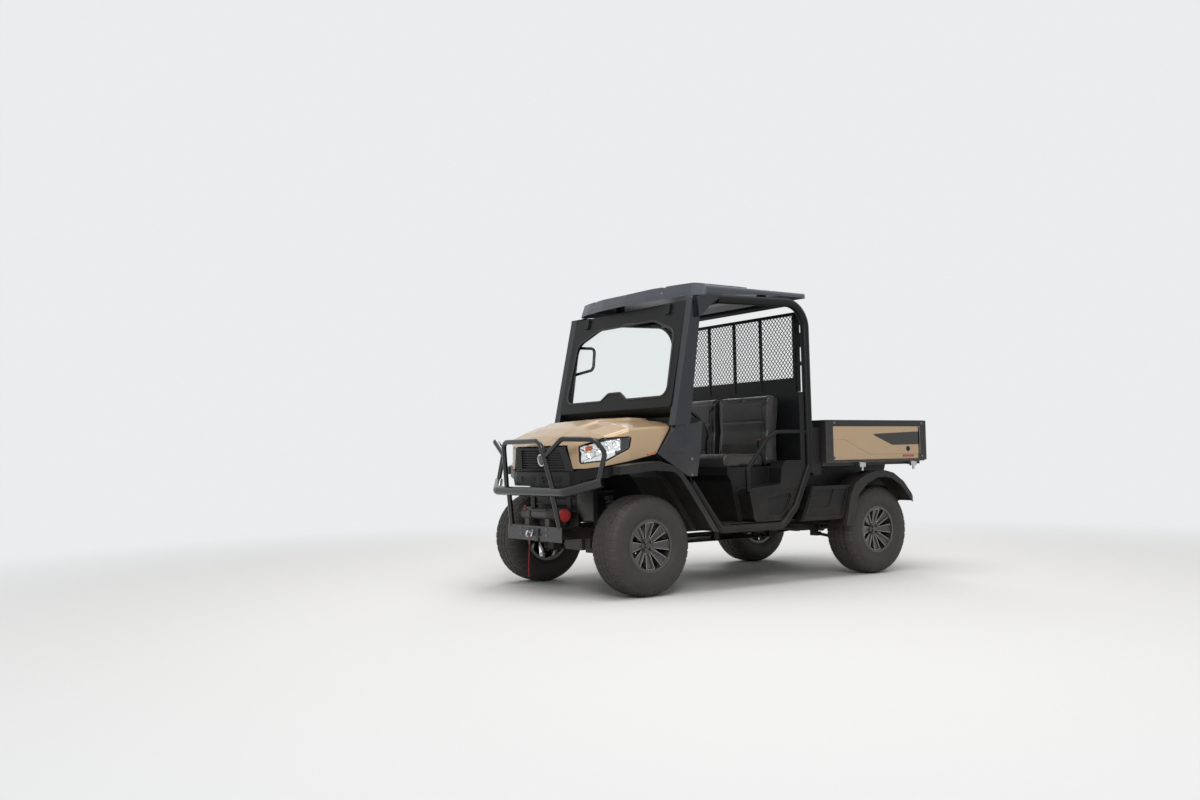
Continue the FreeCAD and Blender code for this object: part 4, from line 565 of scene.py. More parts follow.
for name, centre, side in WHEELS:
    centre = np.array(centre)
    strips, webs, nuts = [], [], []
    for pair in range(SPOKE_PAIRS):
        spin = 2 * math.pi * pair / SPOKE_PAIRS
        out = np.array([0.0, -math.sin(spin), math.cos(spin)])
        level = np.array([0.0, math.cos(spin), math.sin(spin)])
        feet = [centre + out * reach + level * lean * (shift + half - EDGE_IN) + (side * (face - SUNK), 0, 0)
                for reach, shift, half, face in SPOKE_FACE for lean in (-1, 1)]
        for lean in (0, 1):
            strips.append(bar_between(feet[lean], feet[lean + 2], level, 0.0024, STRIP_HEIGHT))
        strips.append(bar_between(feet[2], feet[3], out, 0.0028, STRIP_HEIGHT))
        sunk = np.array([side * WEB_BACK, 0, 0])
        web = np.array([feet[k] - sunk for k in (0, 1, 3, 2)])
        webs.append((np.concatenate([web - sunk * 0.5, web]), flipped(BOX_FACES, side < 0)))
    lip = centre + np.outer(RIM_LIP[:, 0], (side, 0, 0))
    rows = len(lip)
    lip_points = carried_ring(lip, np.tile((0.0, 1.0, 0.0), (rows, 1)), np.tile((0.0, 0.0, 1.0), (rows, 1)),
                              RIM_LIP[:, 1], 96)
    webs.append((lip_points, flipped(grid_faces(rows, 96, close_columns=True), side > 0)))
    kept("rim_blades_" + name, *stacked(webs), "wheel_" + name, gloss_black, "alloy", sharp=32)
    kept("rim_bright_edges_" + name, *stacked(strips), "wheel_" + name, machined, "alloy", sharp=32)
    axis = np.array([side, 0.0, 0.0])
    for quarter in range(4):
        spin = math.pi / 4 + quarter * math.pi / 2
        seat = centre + axis * 0.072 + NUT_CIRCLE * np.array([0, math.cos(spin), math.sin(spin)])
        nuts.append(turned_shape(seat, axis, [(-0.001, 0.0105), (0.004, 0.0098), (0.0041, 0.0088), (0.014, 0.0085),
                                              (0.0165, 0.0060), (0.0172, 0.0030)], 6))
    kept("wheel_nuts_" + name, *stacked(nuts), "wheel_" + name, black_chrome, "alloy", sharp=25)
    cap_shape = turned_shape(centre + axis * 0.071, axis, [(-0.001, 0.0200), (0.006, 0.0200), (0.0085, 0.0180),
                                                           (0.0095, 0.0140), (0.0085, 0.0120),
                                                           (0.0095, 0.0030)], 32)
    stem = turned_shape(centre + np.array([side * 0.088, 0.0, -0.1395]), axis,
                        [(-0.03, 0.0040), (0.006, 0.0040), (0.0065, 0.0050), (0.016, 0.0050), (0.018, 0.0035)], 14)
    kept("centre_cap_" + name, *stacked([cap_shape, stem]), "wheel_" + name, gloss_black, "alloy", sharp=32)
    dressed(gloss_black, "rim_" + name)

# Cab mouldings: floor, toe board, dashboard, seat box with its storage pods and the bulkhead are black
# polyethylene, injection moulded with a leather-like grain that holds dust. Their lighter corners are a painted
# highlight.
grained_black = finished("grained_black_moulding", (0.0075, 0.0078, 0.0088), (0.06, 0.06, 0.064), 0.42,
                         (0.003, 900, 0.22, 0.0006), (0.10, 0.35, 0.85, 0.03), 0.08, Specular_IOR_Level=0.22)
dressed(grained_black, "floor_pan", "dash", "seat_base", "rear_wall")
# The smooth mouldings' corners are painted lighter too, as a painted highlight.
smooth_black = finished("smooth_black_moulding", (0.0055, 0.0057, 0.0066), (0.05, 0.05, 0.054), 0.34,
                        (0.003, 600, 0.12, 0.0004), (0.08, 0.35, 0.8, 0.01), 0.06, Specular_IOR_Level=0.22)
dressed(smooth_black, "front_fascia", "grille", "rear_side_panels", "steering_wheel")

# Dashboard fittings: a round instrument in a ring, a row of rocker switches, the gear lever and two hanging pedals.
# All are small bought-in parts pressed or screwed into the mouldings.
lens_black = new_material("instrument_glass", (0.004, 0.005, 0.006, 1), 0.06, Coat_Weight=1.0)
lens_grain = chained(lens_black.node_tree, "ShaderNodeTexNoise", {"Scale": 30.0})
blotched(lens_black, lens_grain, 0.04, 0.10)


def carried_tube(points, radius, sides=16, steps=12):
    """A round bar along a route: each run is divided evenly into steps and the whole is drawn smooth by as many
    passes of averaging each point with its neighbours, then a circle is carried along it and its ends are closed."""
    route = np.asarray(points, float)
    share = np.linspace(0, len(route) - 1, (len(route) - 1) * steps + 1)
    path = np.stack([np.interp(share, np.arange(len(route)), route[:, k]) for k in range(3)], 1)
    for _ in range(steps):
        path[1:-1] = (path[:-2] + 2 * path[1:-1] + path[2:]) / 4
    across, other = frames_along(path)
    return closed_tube(path, across, other, radius, sides)


def rounded_box(low, high, round_by=0.003):
    """A box with its edges cut back. Each corner has three points, one for each face it touches, drawn in along the
    other two axes. They are joined across the faces, along the twelve edges and at the eight corners."""
    ends = [(a, b, c) for a in (0, 1) for b in (0, 1) for c in (0, 1)]
    flush = np.where(ends, high, low).astype(float)
    inset = flush + np.where(ends, -round_by, round_by)
    points = np.where(np.eye(3, dtype=bool), flush[:, None, :], inset[:, None, :]).reshape(-1, 3)

    def point(face, along, at_along, at_next, at_last):
        corner = [0, 0, 0]
        corner[along], corner[(along + 1) % 3], corner[(along + 2) % 3] = at_along, at_next, at_last
        return 3 * ends.index(tuple(corner)) + face

    faces = []
    for k in range(3):
        u, v = (k + 1) % 3, (k + 2) % 3
        around = ((0, 0), (1, 0), (1, 1), (0, 1))
        side = [point(k, k, 1, a, b) for a, b in around]
        faces += [side, [point(k, k, 0, a, b) for a, b in around][::-1]]
        for a, b in around:
            strip = [point(u, k, 0, a, b), point(v, k, 0, a, b), point(v, k, 1, a, b), point(u, k, 1, a, b)]
            faces.append(strip if a == b else strip[::-1])
    for corner, signs in enumerate(ends):
        cut = [3 * corner, 3 * corner + 1, 3 * corner + 2]
        faces.append(cut if sum(signs) % 2 else cut[::-1])
    return points, faces


switches = [rounded_box((x - 0.012, -0.5455, 1.020), (x + 0.012, -0.5365, 1.040), 0.002)
            for x in (0.10, 0.135, 0.17, 0.205)]
lever = carried_tube([(0.165, -0.545, 0.955), (0.165, -0.500, 0.975), (0.160, -0.470, 1.030),
                      (0.158, -0.455, 1.075)], 0.006)
knob = turned_shape((0.158, -0.455, 1.066), (0, 0.2, 0.98), [(0, 0.008), (0.006, 0.016), (0.020, 0.020),
                                                             (0.034, 0.018), (0.042, 0.008)], 24)
pedals = []
for x, width in ((0.430, 0.055), (0.300, 0.090)):
    pedals.append(carried_tube([(x, -0.640, 0.760), (x, -0.600, 0.660), (x, -0.565, 0.590)], 0.008, 12))
    pedals.append(rounded_box((x - width / 2, -0.570, 0.555), (x + width / 2, -0.552, 0.625), 0.004))
kept("dash_controls", *stacked(switches + [lever, knob] + pedals), "chassis", smooth_black, "black_plastic",
     sharp=32)
DIAL_PLACE = ((0.360, -0.548, 1.078), (0, 0.62, 0.78))
dial = turned_shape(*DIAL_PLACE, [(-0.030, 0.046), (0.014, 0.050), (0.020, 0.050), (0.020, 0.044), (0.012, 0.042)])
kept("gauge_ring", *dial, "chassis", smooth_black, "black_plastic", sharp=32)
glass_disc = turned_shape(*DIAL_PLACE, [(0.010, 0.0435), (0.0135, 0.0435), (0.0145, 0.020)])
kept("gauge_glass", *glass_disc, "chassis", lens_black, "black_plastic")

# Seats: two bench pads and two backs of foam in black vinyl, sewn as a top panel and a side band, with a
# stitched channel across each. The foam swells the cover until the seams hold it.
PADS = [  # name, node, low x, high x, kind
    ("seat_pad_left", "seat_cushions", 0.070, 0.610, "pad"),
    ("seat_pad_right", "seat_cushions", -0.610, 0.050, "pad"),
    ("seat_back_left", "seat_backs", 0.070, 0.610, "back"),
    ("seat_back_right", "seat_backs", -0.610, 0.050, "back"),
]
PAD_SIDES = {  # the side outline of each kind as rows of y, z and corner radius
    "pad": [(-0.3295, 0.7910, 0.030), (0.0675, 0.7910, 0.012), (0.0675, 0.8680, 0.030), (-0.3295, 0.8830, 0.040)],
    "back": [(0.0755, 0.7905, 0.012), (0.1795, 0.7905, 0.012), (0.2135, 1.2890, 0.045), (0.1005, 1.3070, 0.045)],
}
FOAM_INSET = 0.009
END_ROUND = 0.022
FOAM_VOXEL = 0.0068
FOAM_PRESSURE = 4.0
FOAM_RISE = 0.010
FOAM_FRAMES = 20
SEAM_DEPTH = 0.0042
SEAMS = {  # kind: the face's axis, its way and least lean, the channel's axis and share, the loop's distance in
    "pad": (2, 1, 0.5, 1, 0.30, 0.045),
    "back": (1, -1, 0.4, 2, 0.62, 0.050),
}


def rounded_loop(corners, samples=7):
    """A closed loop of straight runs and round corners: each corner is an arc that touches both its sides."""
    rows = []
    for i, (y, z, radius) in enumerate(corners):
        here = np.array([y, z])
        before = np.array(corners[i - 1][:2]) - here
        after = np.array(corners[(i + 1) % len(corners)][:2]) - here
        before, after = before / np.linalg.norm(before), after / np.linalg.norm(after)
        half = math.acos(float(np.clip(before @ after, -1, 1))) / 2
        middle = here + (before + after) / np.linalg.norm(before + after) * radius / math.sin(half)
        first, last = here + before * radius / math.tan(half), here + after * radius / math.tan(half)
        sweep = np.linspace(0, 1, samples)[:, None]
        chord = first + (last - first) * sweep - middle
        rows.append(middle + chord / np.linalg.norm(chord, axis=1)[:, None] * radius)
    return np.concatenate(rows)


def read_off(piece, what):
    """A property of all of a piece's vertices as rows of three."""
    flat = np.empty(len(piece.data.vertices) * 3)
    piece.data.vertices.foreach_get(what, flat)
    return flat.reshape(-1, 3)


def moved_to(piece, places):
    """Sets all of a piece's vertices."""
    piece.data.vertices.foreach_set("co", places.reshape(-1))
    piece.data.update()


def resampled(loop, count):
    """A closed loop at even distances along itself."""
    closed = np.concatenate([loop, loop[:1]])
    run = np.concatenate([[0], np.cumsum(np.linalg.norm(np.diff(closed, axis=0), axis=1))])
    share = np.linspace(0, run[-1], count, endpoint=False)
    return np.stack([np.interp(share, run, closed[:, k]) for k in range(closed.shape[1])], 1)


vinyl = finished("black_vinyl", (0.009, 0.009, 0.010), 0.03, 0.34, (0.002, 520, 0.35, 0.0007),
                 (0.10, 0.7, 1.6, 0.07), 0.07, Sheen_Weight=0.15, Sheen_Roughness=0.5)
scene = bpy.context.scene
for name, node, low_x, high_x, kind in PADS:
    loop = resampled(rounded_loop(PAD_SIDES[kind]), 72)
    middle = loop.mean(0)
    reach = np.linalg.norm(loop - middle, axis=1)
    share = np.array([0, 0.004, 0.012, 0.024, 0.04, 0.1, 0.3, 0.5, 0.7, 0.9, 0.96, 0.976, 0.988, 0.996, 1.0])
    x = low_x + FOAM_INSET + (high_x - low_x - 2 * FOAM_INSET) * share
    from_end = np.minimum(share, 1 - share) * (high_x - low_x)
    round_off = (1 - np.clip(from_end / END_ROUND, 0, 1)) ** 2
    draw_in = FOAM_INSET + END_ROUND * (1 - np.sqrt(np.clip(1 - round_off, 0, 1)))
    drawn = (reach[None, :] - draw_in[:, None]) / reach[None, :]
    section = middle + (loop - middle)[None, :, :] * drawn[:, :, None]
    points = np.concatenate([np.repeat(x[:, None], len(loop), 1)[:, :, None], section], 2).reshape(-1, 3)
    faces = grid_faces(len(x), len(loop), close_columns=True)
    faces += [list(range(len(loop)))[::-1], list(range(len(points) - len(loop), len(points)))]
    pad = joined_mesh(name, points, faces)
    remesh = pad.modifiers.new("skin", "REMESH")
    remesh.mode = "VOXEL"
    remesh.voxel_size = FOAM_VOXEL
    remesh.use_smooth_shade = True
    bpy.context.view_layer.objects.active = pad
    with bpy.context.temp_override(object=pad, active_object=pad, selected_objects=[pad]):
        bpy.ops.object.modifier_apply(modifier="skin")
    still = read_off(pad, "co")
    cloth = pad.modifiers.new("foam", "CLOTH")
    cloth.settings.quality = 5
    cloth.settings.use_pressure = True
    cloth.settings.uniform_pressure_force = FOAM_PRESSURE
    cloth.settings.effector_weights.gravity = 0.0
    cloth.point_cache.frame_start = 1
    cloth.point_cache.frame_end = FOAM_FRAMES
    for moment in range(1, FOAM_FRAMES + 1):
        scene.frame_set(moment)
    move = read_off(pad.evaluated_get(bpy.context.evaluated_depsgraph_get()), "co") - still
    pad.modifiers.remove(cloth)
    scene.frame_set(1)
    size = np.linalg.norm(move, axis=1)
    move *= np.minimum(1.0, FOAM_RISE / np.maximum(size, 1e-9))[:, None]
    still = still + move
    low = np.array([low_x + 0.001, loop[:, 0].min() + 0.001, loop[:, 1].min()])
    high = np.array([high_x - 0.001, loop[:, 0].max() - 0.001, loop[:, 1].max() - 0.001])
    still = np.clip(still, low, high)
    moved_to(pad, still)

    # Seams: the stitched channel runs across the pad's face, and a loop parts the top panel from the side band.
    normals = read_off(pad, "normal")
    inner = np.minimum(still[:, 0] - low[0], high[0] - still[:, 0])
    front, way, lean, up, at, band = SEAMS[kind]
    face = normals[:, front] * way > lean
    channel = np.abs(still[:, up] - (low[up] + at * (high[up] - low[up])))
    edge_gap = np.minimum(inner, np.minimum(still[:, up] - low[up], high[up] - still[:, up])) - band
    sewn = np.maximum(np.exp(-(channel / 0.0055) ** 2) * (edge_gap > -0.002), np.exp(-(edge_gap / 0.0045) ** 2))
    still = still - normals * (SEAM_DEPTH * sewn * face)[:, None]
    moved_to(pad, still)
    finer = pad.modifiers.new("round", "SUBSURF")
    finer.levels = finer.render_levels = 1
    pad.data.materials.append(vinyl)
    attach(pad, "chassis")
    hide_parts(node)

# Seat belt buckles: black webbing stalks that stand beside the pads.
# Each ends in a black shell with a red release.
shells, buttons = [], []
for x, lean in ((0.040, 0.10), (-0.020, -0.10), (0.618, 0.0)):
    base = np.array([x, 0.045, 0.800])
    tip = base + np.array([lean * 0.10, -0.050, 0.120])
    shells.append(carried_tube([base, (base + tip) / 2 + [0, -0.004, 0], tip], 0.007, 12, 6))
    shells.append(rounded_box(tip - [0.013, 0.012, 0.010], tip + [0.013, 0.012, 0.052], 0.003))
    buttons.append(rounded_box(tip + [-0.009, -0.008, 0.050], tip + [0.009, 0.008, 0.0555], 0.0015))
kept("buckle_shells", *stacked(shells), "chassis", smooth_black, "black_plastic", sharp=32)
red_release = finished("red_moulding", (0.36, 0.008, 0.010), (0.6, 0.1, 0.1), 0.35, (0.0008, 500, 0.08, 0.0003),
                       (0.15, 0.3, 1.2, 0.05), 0.05)
kept("buckle_buttons", *stacked(buttons), "chassis", red_release, "red_lens", smooth=False)

# Charcoal panels: the two flat pillars and the cowl sides are sprayed steel, dark blue-grey with a fine metallic
# fleck under a thin clear coat.
charcoal = finished("charcoal_coat", (0.0095, 0.0112, 0.0165), (0.05, 0.05, 0.06), 0.36,
                    (0.003, 1200, 0.06, 0.0003), (0.12, 0.6, 1.2, 0.03), 0.05, Coat_Weight=0.25,
                    Coat_Roughness=0.2, Metallic=0.25)
dressed(charcoal, "front_pillars", "cowl")

# Roof: one vacuum-formed slate shell with raised bands, slightly glossy and with a fine grain.
# Pale dust lies on its level tops.
roof_shell = finished("slate_roof_moulding", (0.040, 0.046, 0.060), (0.09, 0.095, 0.11), 0.4,
                      (0.006, 700, 0.12, 0.0005), (0, 0.3, 1, 0.16, 4, (0.24, 0.225, 0.20, 1)), 0.06,
                      Coat_Weight=0.15, Coat_Roughness=0.3)
dressed(roof_shell, "roof")

# Windscreen: clear laminated glass on a black steel frame, seated in a rubber gasket whose lip follows the arched
# opening. Two amber clips hold the frame to the pillars.
clear_glass = new_material("laminated_glass", (0.93, 0.97, 0.96, 1), 0.02, Transmission_Weight=1.0, IOR=1.12,
                           Specular_IOR_Level=0.6)
haze = chained(clear_glass.node_tree, "ShaderNodeTexNoise", {"Scale": 7.0, "Detail": 5.0,
                                                             "Vector": object_place(clear_glass.node_tree)})
blotched(clear_glass, haze, 0.01, 0.07, 0.4, 0.8)
dressed(clear_glass, "windscreen_glass")
SCREEN_LEAN = math.radians(12.6)
SCREEN_FOOT = np.array([0.0, -0.788, 1.188])
GASKET_HALF = [(0.070, 0.122, 0.040), (0.150, 0.070, 0.040), (0.600, 0.070, 0.070), (0.572, 0.520, 0.090),
               (0.330, 0.612, 0.200)]  # across, up and corner radius on one side
other_half = [(-x, z, radius) for x, z, radius in reversed(GASKET_HALF)]
around = resampled(rounded_loop(GASKET_HALF + other_half, 9), 240)
leaned = np.stack([around[:, 0], -0.0125 + 0 * around[:, 0], around[:, 1]], 1)


def leaned_back(points):
    """Turns points of the upright screen back about its foot by the screen's lean, and moves them there."""
    y = points[:, 1] * math.cos(SCREEN_LEAN) + points[:, 2] * math.sin(SCREEN_LEAN)
    z = points[:, 2] * math.cos(SCREEN_LEAN) - points[:, 1] * math.sin(SCREEN_LEAN)
    return SCREEN_FOOT + np.stack([points[:, 0], y, z], 1)


lip_out = np.roll(leaned, -1, 0) - np.roll(leaned, 1, 0)
lip_out /= np.linalg.norm(lip_out, axis=1)[:, None]
lip_out = np.cross(lip_out, (0, 1, 0))
lip_rows = []
for out, forth in ((-0.004, 0.016), (-0.005, -0.001), (-0.003, -0.0035), (0.004, -0.004), (0.009, -0.0025),
                   (0.010, 0.001)):
    lip_rows.append(leaned_back(leaned + lip_out * out + np.array([0, forth, 0])))
gasket_points = np.stack(lip_rows, 1).reshape(-1, 3)
gasket_rubber = finished("gasket_rubber", (0.012, 0.012, 0.0125), 0.03, 0.5, (0.001, 500, 0.15, 0.0003),
                         (0.1, 0.5, 2.2, 0.05), 0.05)
gasket_faces = grid_faces(len(around), 6, close_rows=True)
kept("windscreen_gasket", gasket_points, gasket_faces, "chassis", gasket_rubber, "black_plastic")
amber = finished("amber_lens", (0.75, 0.19, 0.01), (0.9, 0.4, 0.05), 0.2, (0.0008, 200, 0.1, 0.0004),
                 (0.1, 0.3, 1.2, 0.03), 0.04, Coat_Weight=0.5)

# Hood: one moulded shell, painted tan with a warm metallic fleck under clear coat, hinged at the cowl. Its paint
# is also on the bed's side panels and on the panel let into the tailgate.
tan_paint = finished("tan_metallic", (0.47, 0.325, 0.185), (0.55, 0.42, 0.28), 0.33, (0.005, 1500, 0.03, 0.0002),
                     (0.35, 0.6, 1.05, 0.05), 0.05, Coat_Weight=0.55, Coat_Roughness=0.09, Metallic=0.28)
dressed(tan_paint, "hood", "bed_side_panels")

# Headlamps: a clear moulded lens over a dark housing that follows it, with three chromed bowls, a stepped chrome
# fin and an amber turn bowl at the top inner corner. The housing's depth is read off the lens along its own facing.
LAMP_FACING = np.array([0.6222, -0.7828, 0.0])
LAMP_ALONG = np.array([0.7828, 0.6222, 0.0])
LAMP_EDGE = [(0.412, -1.349, 0.944), (0.414, -1.342, 0.834), (0.585, -1.260, 0.852), (0.628, -1.110, 0.922),
             (0.632, -1.092, 1.000), (0.560, -1.270, 0.990)]
LAMP_BOWLS = [  # along and up from the lamp's inner lower corner as shares, width, height, depth, kind
    (0.24, 0.30, 0.060, 0.046, 0.030, "bowl"),
    (0.50, 0.42, 0.060, 0.050, 0.032, "bowl"),
    (0.20, 0.74, 0.050, 0.026, 0.016, "turn"),
    (0.74, 0.62, 0.050, 0.045, 0.022, "bowl"),
]


def surface_of(name):
    """A CAD node's surface, for rays to be cast on."""
    mesh = nodes[name].data
    return BVHTree.FromPolygons([v.co[:] for v in mesh.vertices], [p.vertices[:] for p in mesh.polygons])


lens_tree = surface_of("headlamps")
housing_plastic = finished("lamp_housing", (0.02, 0.021, 0.023), 0.08, 0.25, (0.001, 300, 0.05, 0.0003),
                           (0, 0.1, 0.8, 0), 0.04)
reflector = finished("lamp_reflector", (0.86, 0.87, 0.88), 1.0, 0.08, (0.0008, 220, 0.1, 0.0006), (0, 0.1, 0.8, 0),
                     0.03, Metallic=1.0)
edge = np.array(LAMP_EDGE)
edge_u, edge_v = edge @ LAMP_ALONG, edge[:, 2]
U_COUNT, V_COUNT = 84, 52
RAY_START = 1.5
BOWL_POWER = 3.2  # between a circle's 2 and a square's, so the bowls have full corners
grid_u = np.linspace(edge_u.min() + 0.002, edge_u.max() - 0.002, U_COUNT)
grid_v = np.linspace(edge_v.min() + 0.002, edge_v.max() - 0.002, V_COUNT)
U, V = np.meshgrid(grid_u, grid_v, indexing="ij")


def walled(piece, thickness, offset):
    """Gives a sheet its thickness."""
    wall = piece.modifiers.new("wall", "SOLIDIFY")
    wall.thickness = thickness
    wall.offset = offset


def inside_outline(u, v, outline, margin):
    """True where a point is inside a convex outline by a margin: its distance in from every side is more."""
    from_centre = outline - outline.mean(0)
    ring = outline[np.argsort(np.arctan2(from_centre[:, 1], from_centre[:, 0]))]
    before = np.roll(ring, 1, 0)
    side = ring - before
    out = np.stack([side[:, 1], -side[:, 0]], 1) / np.linalg.norm(side, axis=1)[:, None]
    beyond = [(u - a) * p + (v - b) * q for (a, b), (p, q) in zip(before, out)]
    return np.max(beyond, 0) < -margin


face_depth = np.full(U.shape, np.nan)
for i in range(U_COUNT):
    for j in range(V_COUNT):
        start = LAMP_ALONG * U[i, j] + LAMP_FACING * RAY_START + (0, 0, V[i, j])
        hit, _, _, distance = lens_tree.ray_cast(Vector(start), Vector(-LAMP_FACING))
        if hit is not None and hit.x > 0:
            face_depth[i, j] = RAY_START - distance
within = inside_outline(U, V, np.stack([edge_u, edge_v], 1), 0.004) & ~np.isnan(face_depth)
span_u = edge_u.max() - edge_u.min()
share_u = (U - edge_u.min()) / span_u
floor_v = np.interp(U, [edge_u.min(), edge_u.max()], [0.834, 0.935])
roof_v = np.interp(U, [edge_u.min(), edge_u.max()], [0.944, 1.000])
share_v = (V - floor_v) / (roof_v - floor_v)
sink = np.full(U.shape, 0.010)
kind_of = np.zeros(U.shape, int)
for at_u, at_v, wide, tall, deep, kind in LAMP_BOWLS:
    du = (share_u - at_u) * span_u / (wide / 2)
    dv = (share_v - at_v) * 0.10 / (tall / 2)
    away = (np.abs(du) ** BOWL_POWER + np.abs(dv) ** BOWL_POWER) ** (1 / BOWL_POWER)
    bowl = away < 1.0
    sink = np.where(bowl, 0.012 + deep * np.sqrt(np.clip(1 - away ** 2, 0, 1)), sink)
    kind_of = np.where(bowl, 2 if kind == "turn" else 1, kind_of)
fin = (share_v < 0.10) & (share_u > 0.10) & (share_u < 0.72)
sink = np.where(fin & (kind_of == 0), 0.007, sink)
kind_of = np.where(fin & (kind_of == 0), 1, kind_of)
facet = (share_u < 0.80) & (kind_of == 0) & (share_v > 0.04) & (share_v < 0.95)
step = np.abs((share_u * 1.6 + share_v * 0.6) % 0.34 - 0.17)
sink = np.where(facet, 0.008 + 0.05 * step, sink)
kind_of = np.where(facet & (step > 0.018), 1, kind_of)
depth = np.where(within, face_depth, 0.0) - sink
for sign, label in ((1, "left"), (-1, "right")):
    points = LAMP_ALONG[None, None, :] * U[:, :, None] + LAMP_FACING[None, None, :] * depth[:, :, None]
    points[:, :, 2] = V
    points[:, :, 0] *= sign
    quads = np.array(grid_faces(U_COUNT, V_COUNT))
    inside_all = within.reshape(-1)[quads].all(1)
    kinds = kind_of.reshape(-1)[quads].max(1)
    for value, (word, material, slot) in enumerate((("housing", housing_plastic, "black_plastic"),
                                                    ("reflectors", reflector, "chrome"),
                                                    ("turn_bowl", amber, "red_lens"))):
        chosen = quads[inside_all & (kinds == value)]
        used, compact = np.unique(chosen, return_inverse=True)
        compact = flipped(compact.reshape(chosen.shape).tolist(), sign > 0)
        walled(kept("headlamp_" + word + "_" + label, points.reshape(-1, 3)[used], compact, "hood", material, slot),
               0.0012, -1.0)
lens_glass = new_material("lamp_lens", (0.97, 0.98, 0.99, 1), 0.02, Transmission_Weight=1.0, IOR=1.06,
                          Specular_IOR_Level=0.9, Coat_Weight=0.5)
lens_noise = chained(lens_glass.node_tree, "ShaderNodeTexNoise", {"Scale": 20.0, "Detail": 4.0})
blotched(lens_glass, lens_noise, 0.0, 0.05)
dressed(lens_glass, "headlamps")

# Grille boss: a plain bright ring round a plain dark disc, pressed into the louvres' centre.
# It leans with the grille's face.
boss_place = np.array([0.0, -1.3722, 0.8595])
boss_axis = np.array([0.0, -math.cos(math.radians(11)), -math.sin(math.radians(11))])
ring_shape = turned_shape(boss_place, boss_axis, [(-0.0005, 0.0415), (0.0030, 0.0412), (0.0042, 0.0395),
                                                  (0.0042, 0.0345), (0.0020, 0.0325)], 64)
kept("boss_ring", *ring_shape, "chassis", reflector, "chrome", sharp=32)
disc_shape = turned_shape(boss_place, boss_axis, [(0.0021, 0.0326), (0.0027, 0.0322), (0.0038, 0.012),
                                                  (0.0039, 0.004)], 64)
kept("boss_disc", *disc_shape, "chassis", gloss_black, "black_plastic")

# Front and rear fenders: flexible black arches, injection moulded with a matt grain.
# Dust lies on their outer faces, and their lighter corners are a painted highlight.
flare_plastic = finished("matt_flare_moulding", (0.0095, 0.0099, 0.0112), (0.06, 0.06, 0.062), 0.4,
                         (0.004, 800, 0.2, 0.0005), (0.15, 0.35, 0.85, 0.03), 0.08, Specular_IOR_Level=0.28)
dressed(flare_plastic, "front_fenders", "rear_fenders")

# Nose apron: a pressed black sheet with level ribs that hangs behind the winch from the nose panel to the frame's
# front.
# It fills the view behind the winch with black, partly for the dark radiator there and partly as painted shade.
apron_z = np.linspace(0.430, 0.712, 57)
apron_x = np.array([-0.285, -0.279, -0.262, -0.150, 0.0, 0.150, 0.262, 0.279, 0.285])
rib = 0.006 * np.clip(2.2 * np.cos((apron_z - 0.430) / 0.047 * 2 * math.pi) - 0.9, 0, 1)
X, Z = np.meshgrid(apron_x, apron_z, indexing="ij")
bend = np.where(np.abs(X) > 0.27, 0.0, 1.0)
apron_points = np.stack([X, -1.286 + (0.45 - Z) * 0.06 - rib[None, :] * bend + (1 - bend) * 0.012, Z], -1)
walled(kept("nose_shade_apron", apron_points.reshape(-1, 3), grid_faces(len(apron_x), len(apron_z)), "chassis",
            smooth_black, "black_plastic"), 0.002, 0.0)

# Winch: black end drums and tie rods, a wire rope wound on its drum, and a red cap at the motor's end. The rope is
# one helix of close turns. The hook is bright steel, and the fairlead behind it is black.
WINCH_CENTRE = np.array([0.0, -1.372, 0.508])
HOOK_BACK = -1.4455
WINCH_ROPE_TURNS = 26
ROPE_RADIUS = 0.0030
ROPE_RUN = 0.168
ROPE_DRUM = 0.0328
winch_black = finished("winch_satin_black", (0.013, 0.013, 0.014), 0.06, 0.36, (0.002, 500, 0.1, 0.0004),
                       (0.3, 0.3, 0.8, 0.08), 0.06)
dressed(winch_black, "winch")
hook_steel = finished("hook_steel_and_black_fairlead", (0.62, 0.63, 0.64), 0.8, 0.24, (0.001, 300, 0.05, 0.0002),
                      (0.12, 0.3, 0.8, 0.05), 0.05)
forward_of = past(hook_steel.node_tree, "Y", HOOK_BACK, "LESS_THAN")
fed(hook_steel, "Base Color", mixed(hook_steel.node_tree, forward_of, (0.012, 0.012, 0.013, 1),
                                    own_colour(hook_steel)))
fed(hook_steel, "Metallic", forward_of)
dressed(hook_steel, "winch_hook")
rope_steel = finished("dull_rope", (0.10, 0.10, 0.105), 0.3, 0.5, (0.0006, 900, 0.4, 0.0004), (0.3, 0.3, 0.8, 0.1),
                      0.08, Metallic=0.8)
turn = np.linspace(0, WINCH_ROPE_TURNS * 2 * math.pi, WINCH_ROPE_TURNS * 20)
out_way = np.stack([0 * turn, np.cos(turn), np.sin(turn)], 1)
rope_path = WINCH_CENTRE + ROPE_DRUM * out_way
rope_path[:, 0] += ROPE_RUN * (turn / turn[-1] - 0.5)
along = np.gradient(rope_path, axis=0)
along /= np.linalg.norm(along, axis=1)[:, None]
kept("winch_rope", *closed_tube(rope_path, out_way, np.cross(along, out_way), ROPE_RADIUS, 8), "chassis",
     rope_steel, "galvanised")
red_parts = [turned_shape(WINCH_CENTRE + [at, 0, 0], (1, 0, 0), profile) for at, profile in (
    (0.262, [(0.0, 0.0405), (0.012, 0.0412), (0.018, 0.0400), (0.0185, 0.030)]),
    (0.2795, [(0.0, 0.030), (0.004, 0.028), (0.005, 0.012)]))]
kept("winch_red_cap", *stacked(red_parts), "chassis", red_release, "red_lens", sharp=32)
clutch = WINCH_CENTRE + [[-0.150, -0.030, 0.026], [-0.150, -0.042, 0.046], [-0.128, -0.048, 0.054]]
kept("winch_clutch_lever", *carried_tube(clutch, 0.006, 12, 8), "chassis", red_release, "red_lens")
RIB = [(-0.002, 0.0400), (-0.0018, 0.0425), (0.0018, 0.0425), (0.002, 0.0400)]
fins = [turned_shape(WINCH_CENTRE + [0.110 + 0.014 * k, 0, 0], (1, 0, 0), RIB) for k in range(10)]
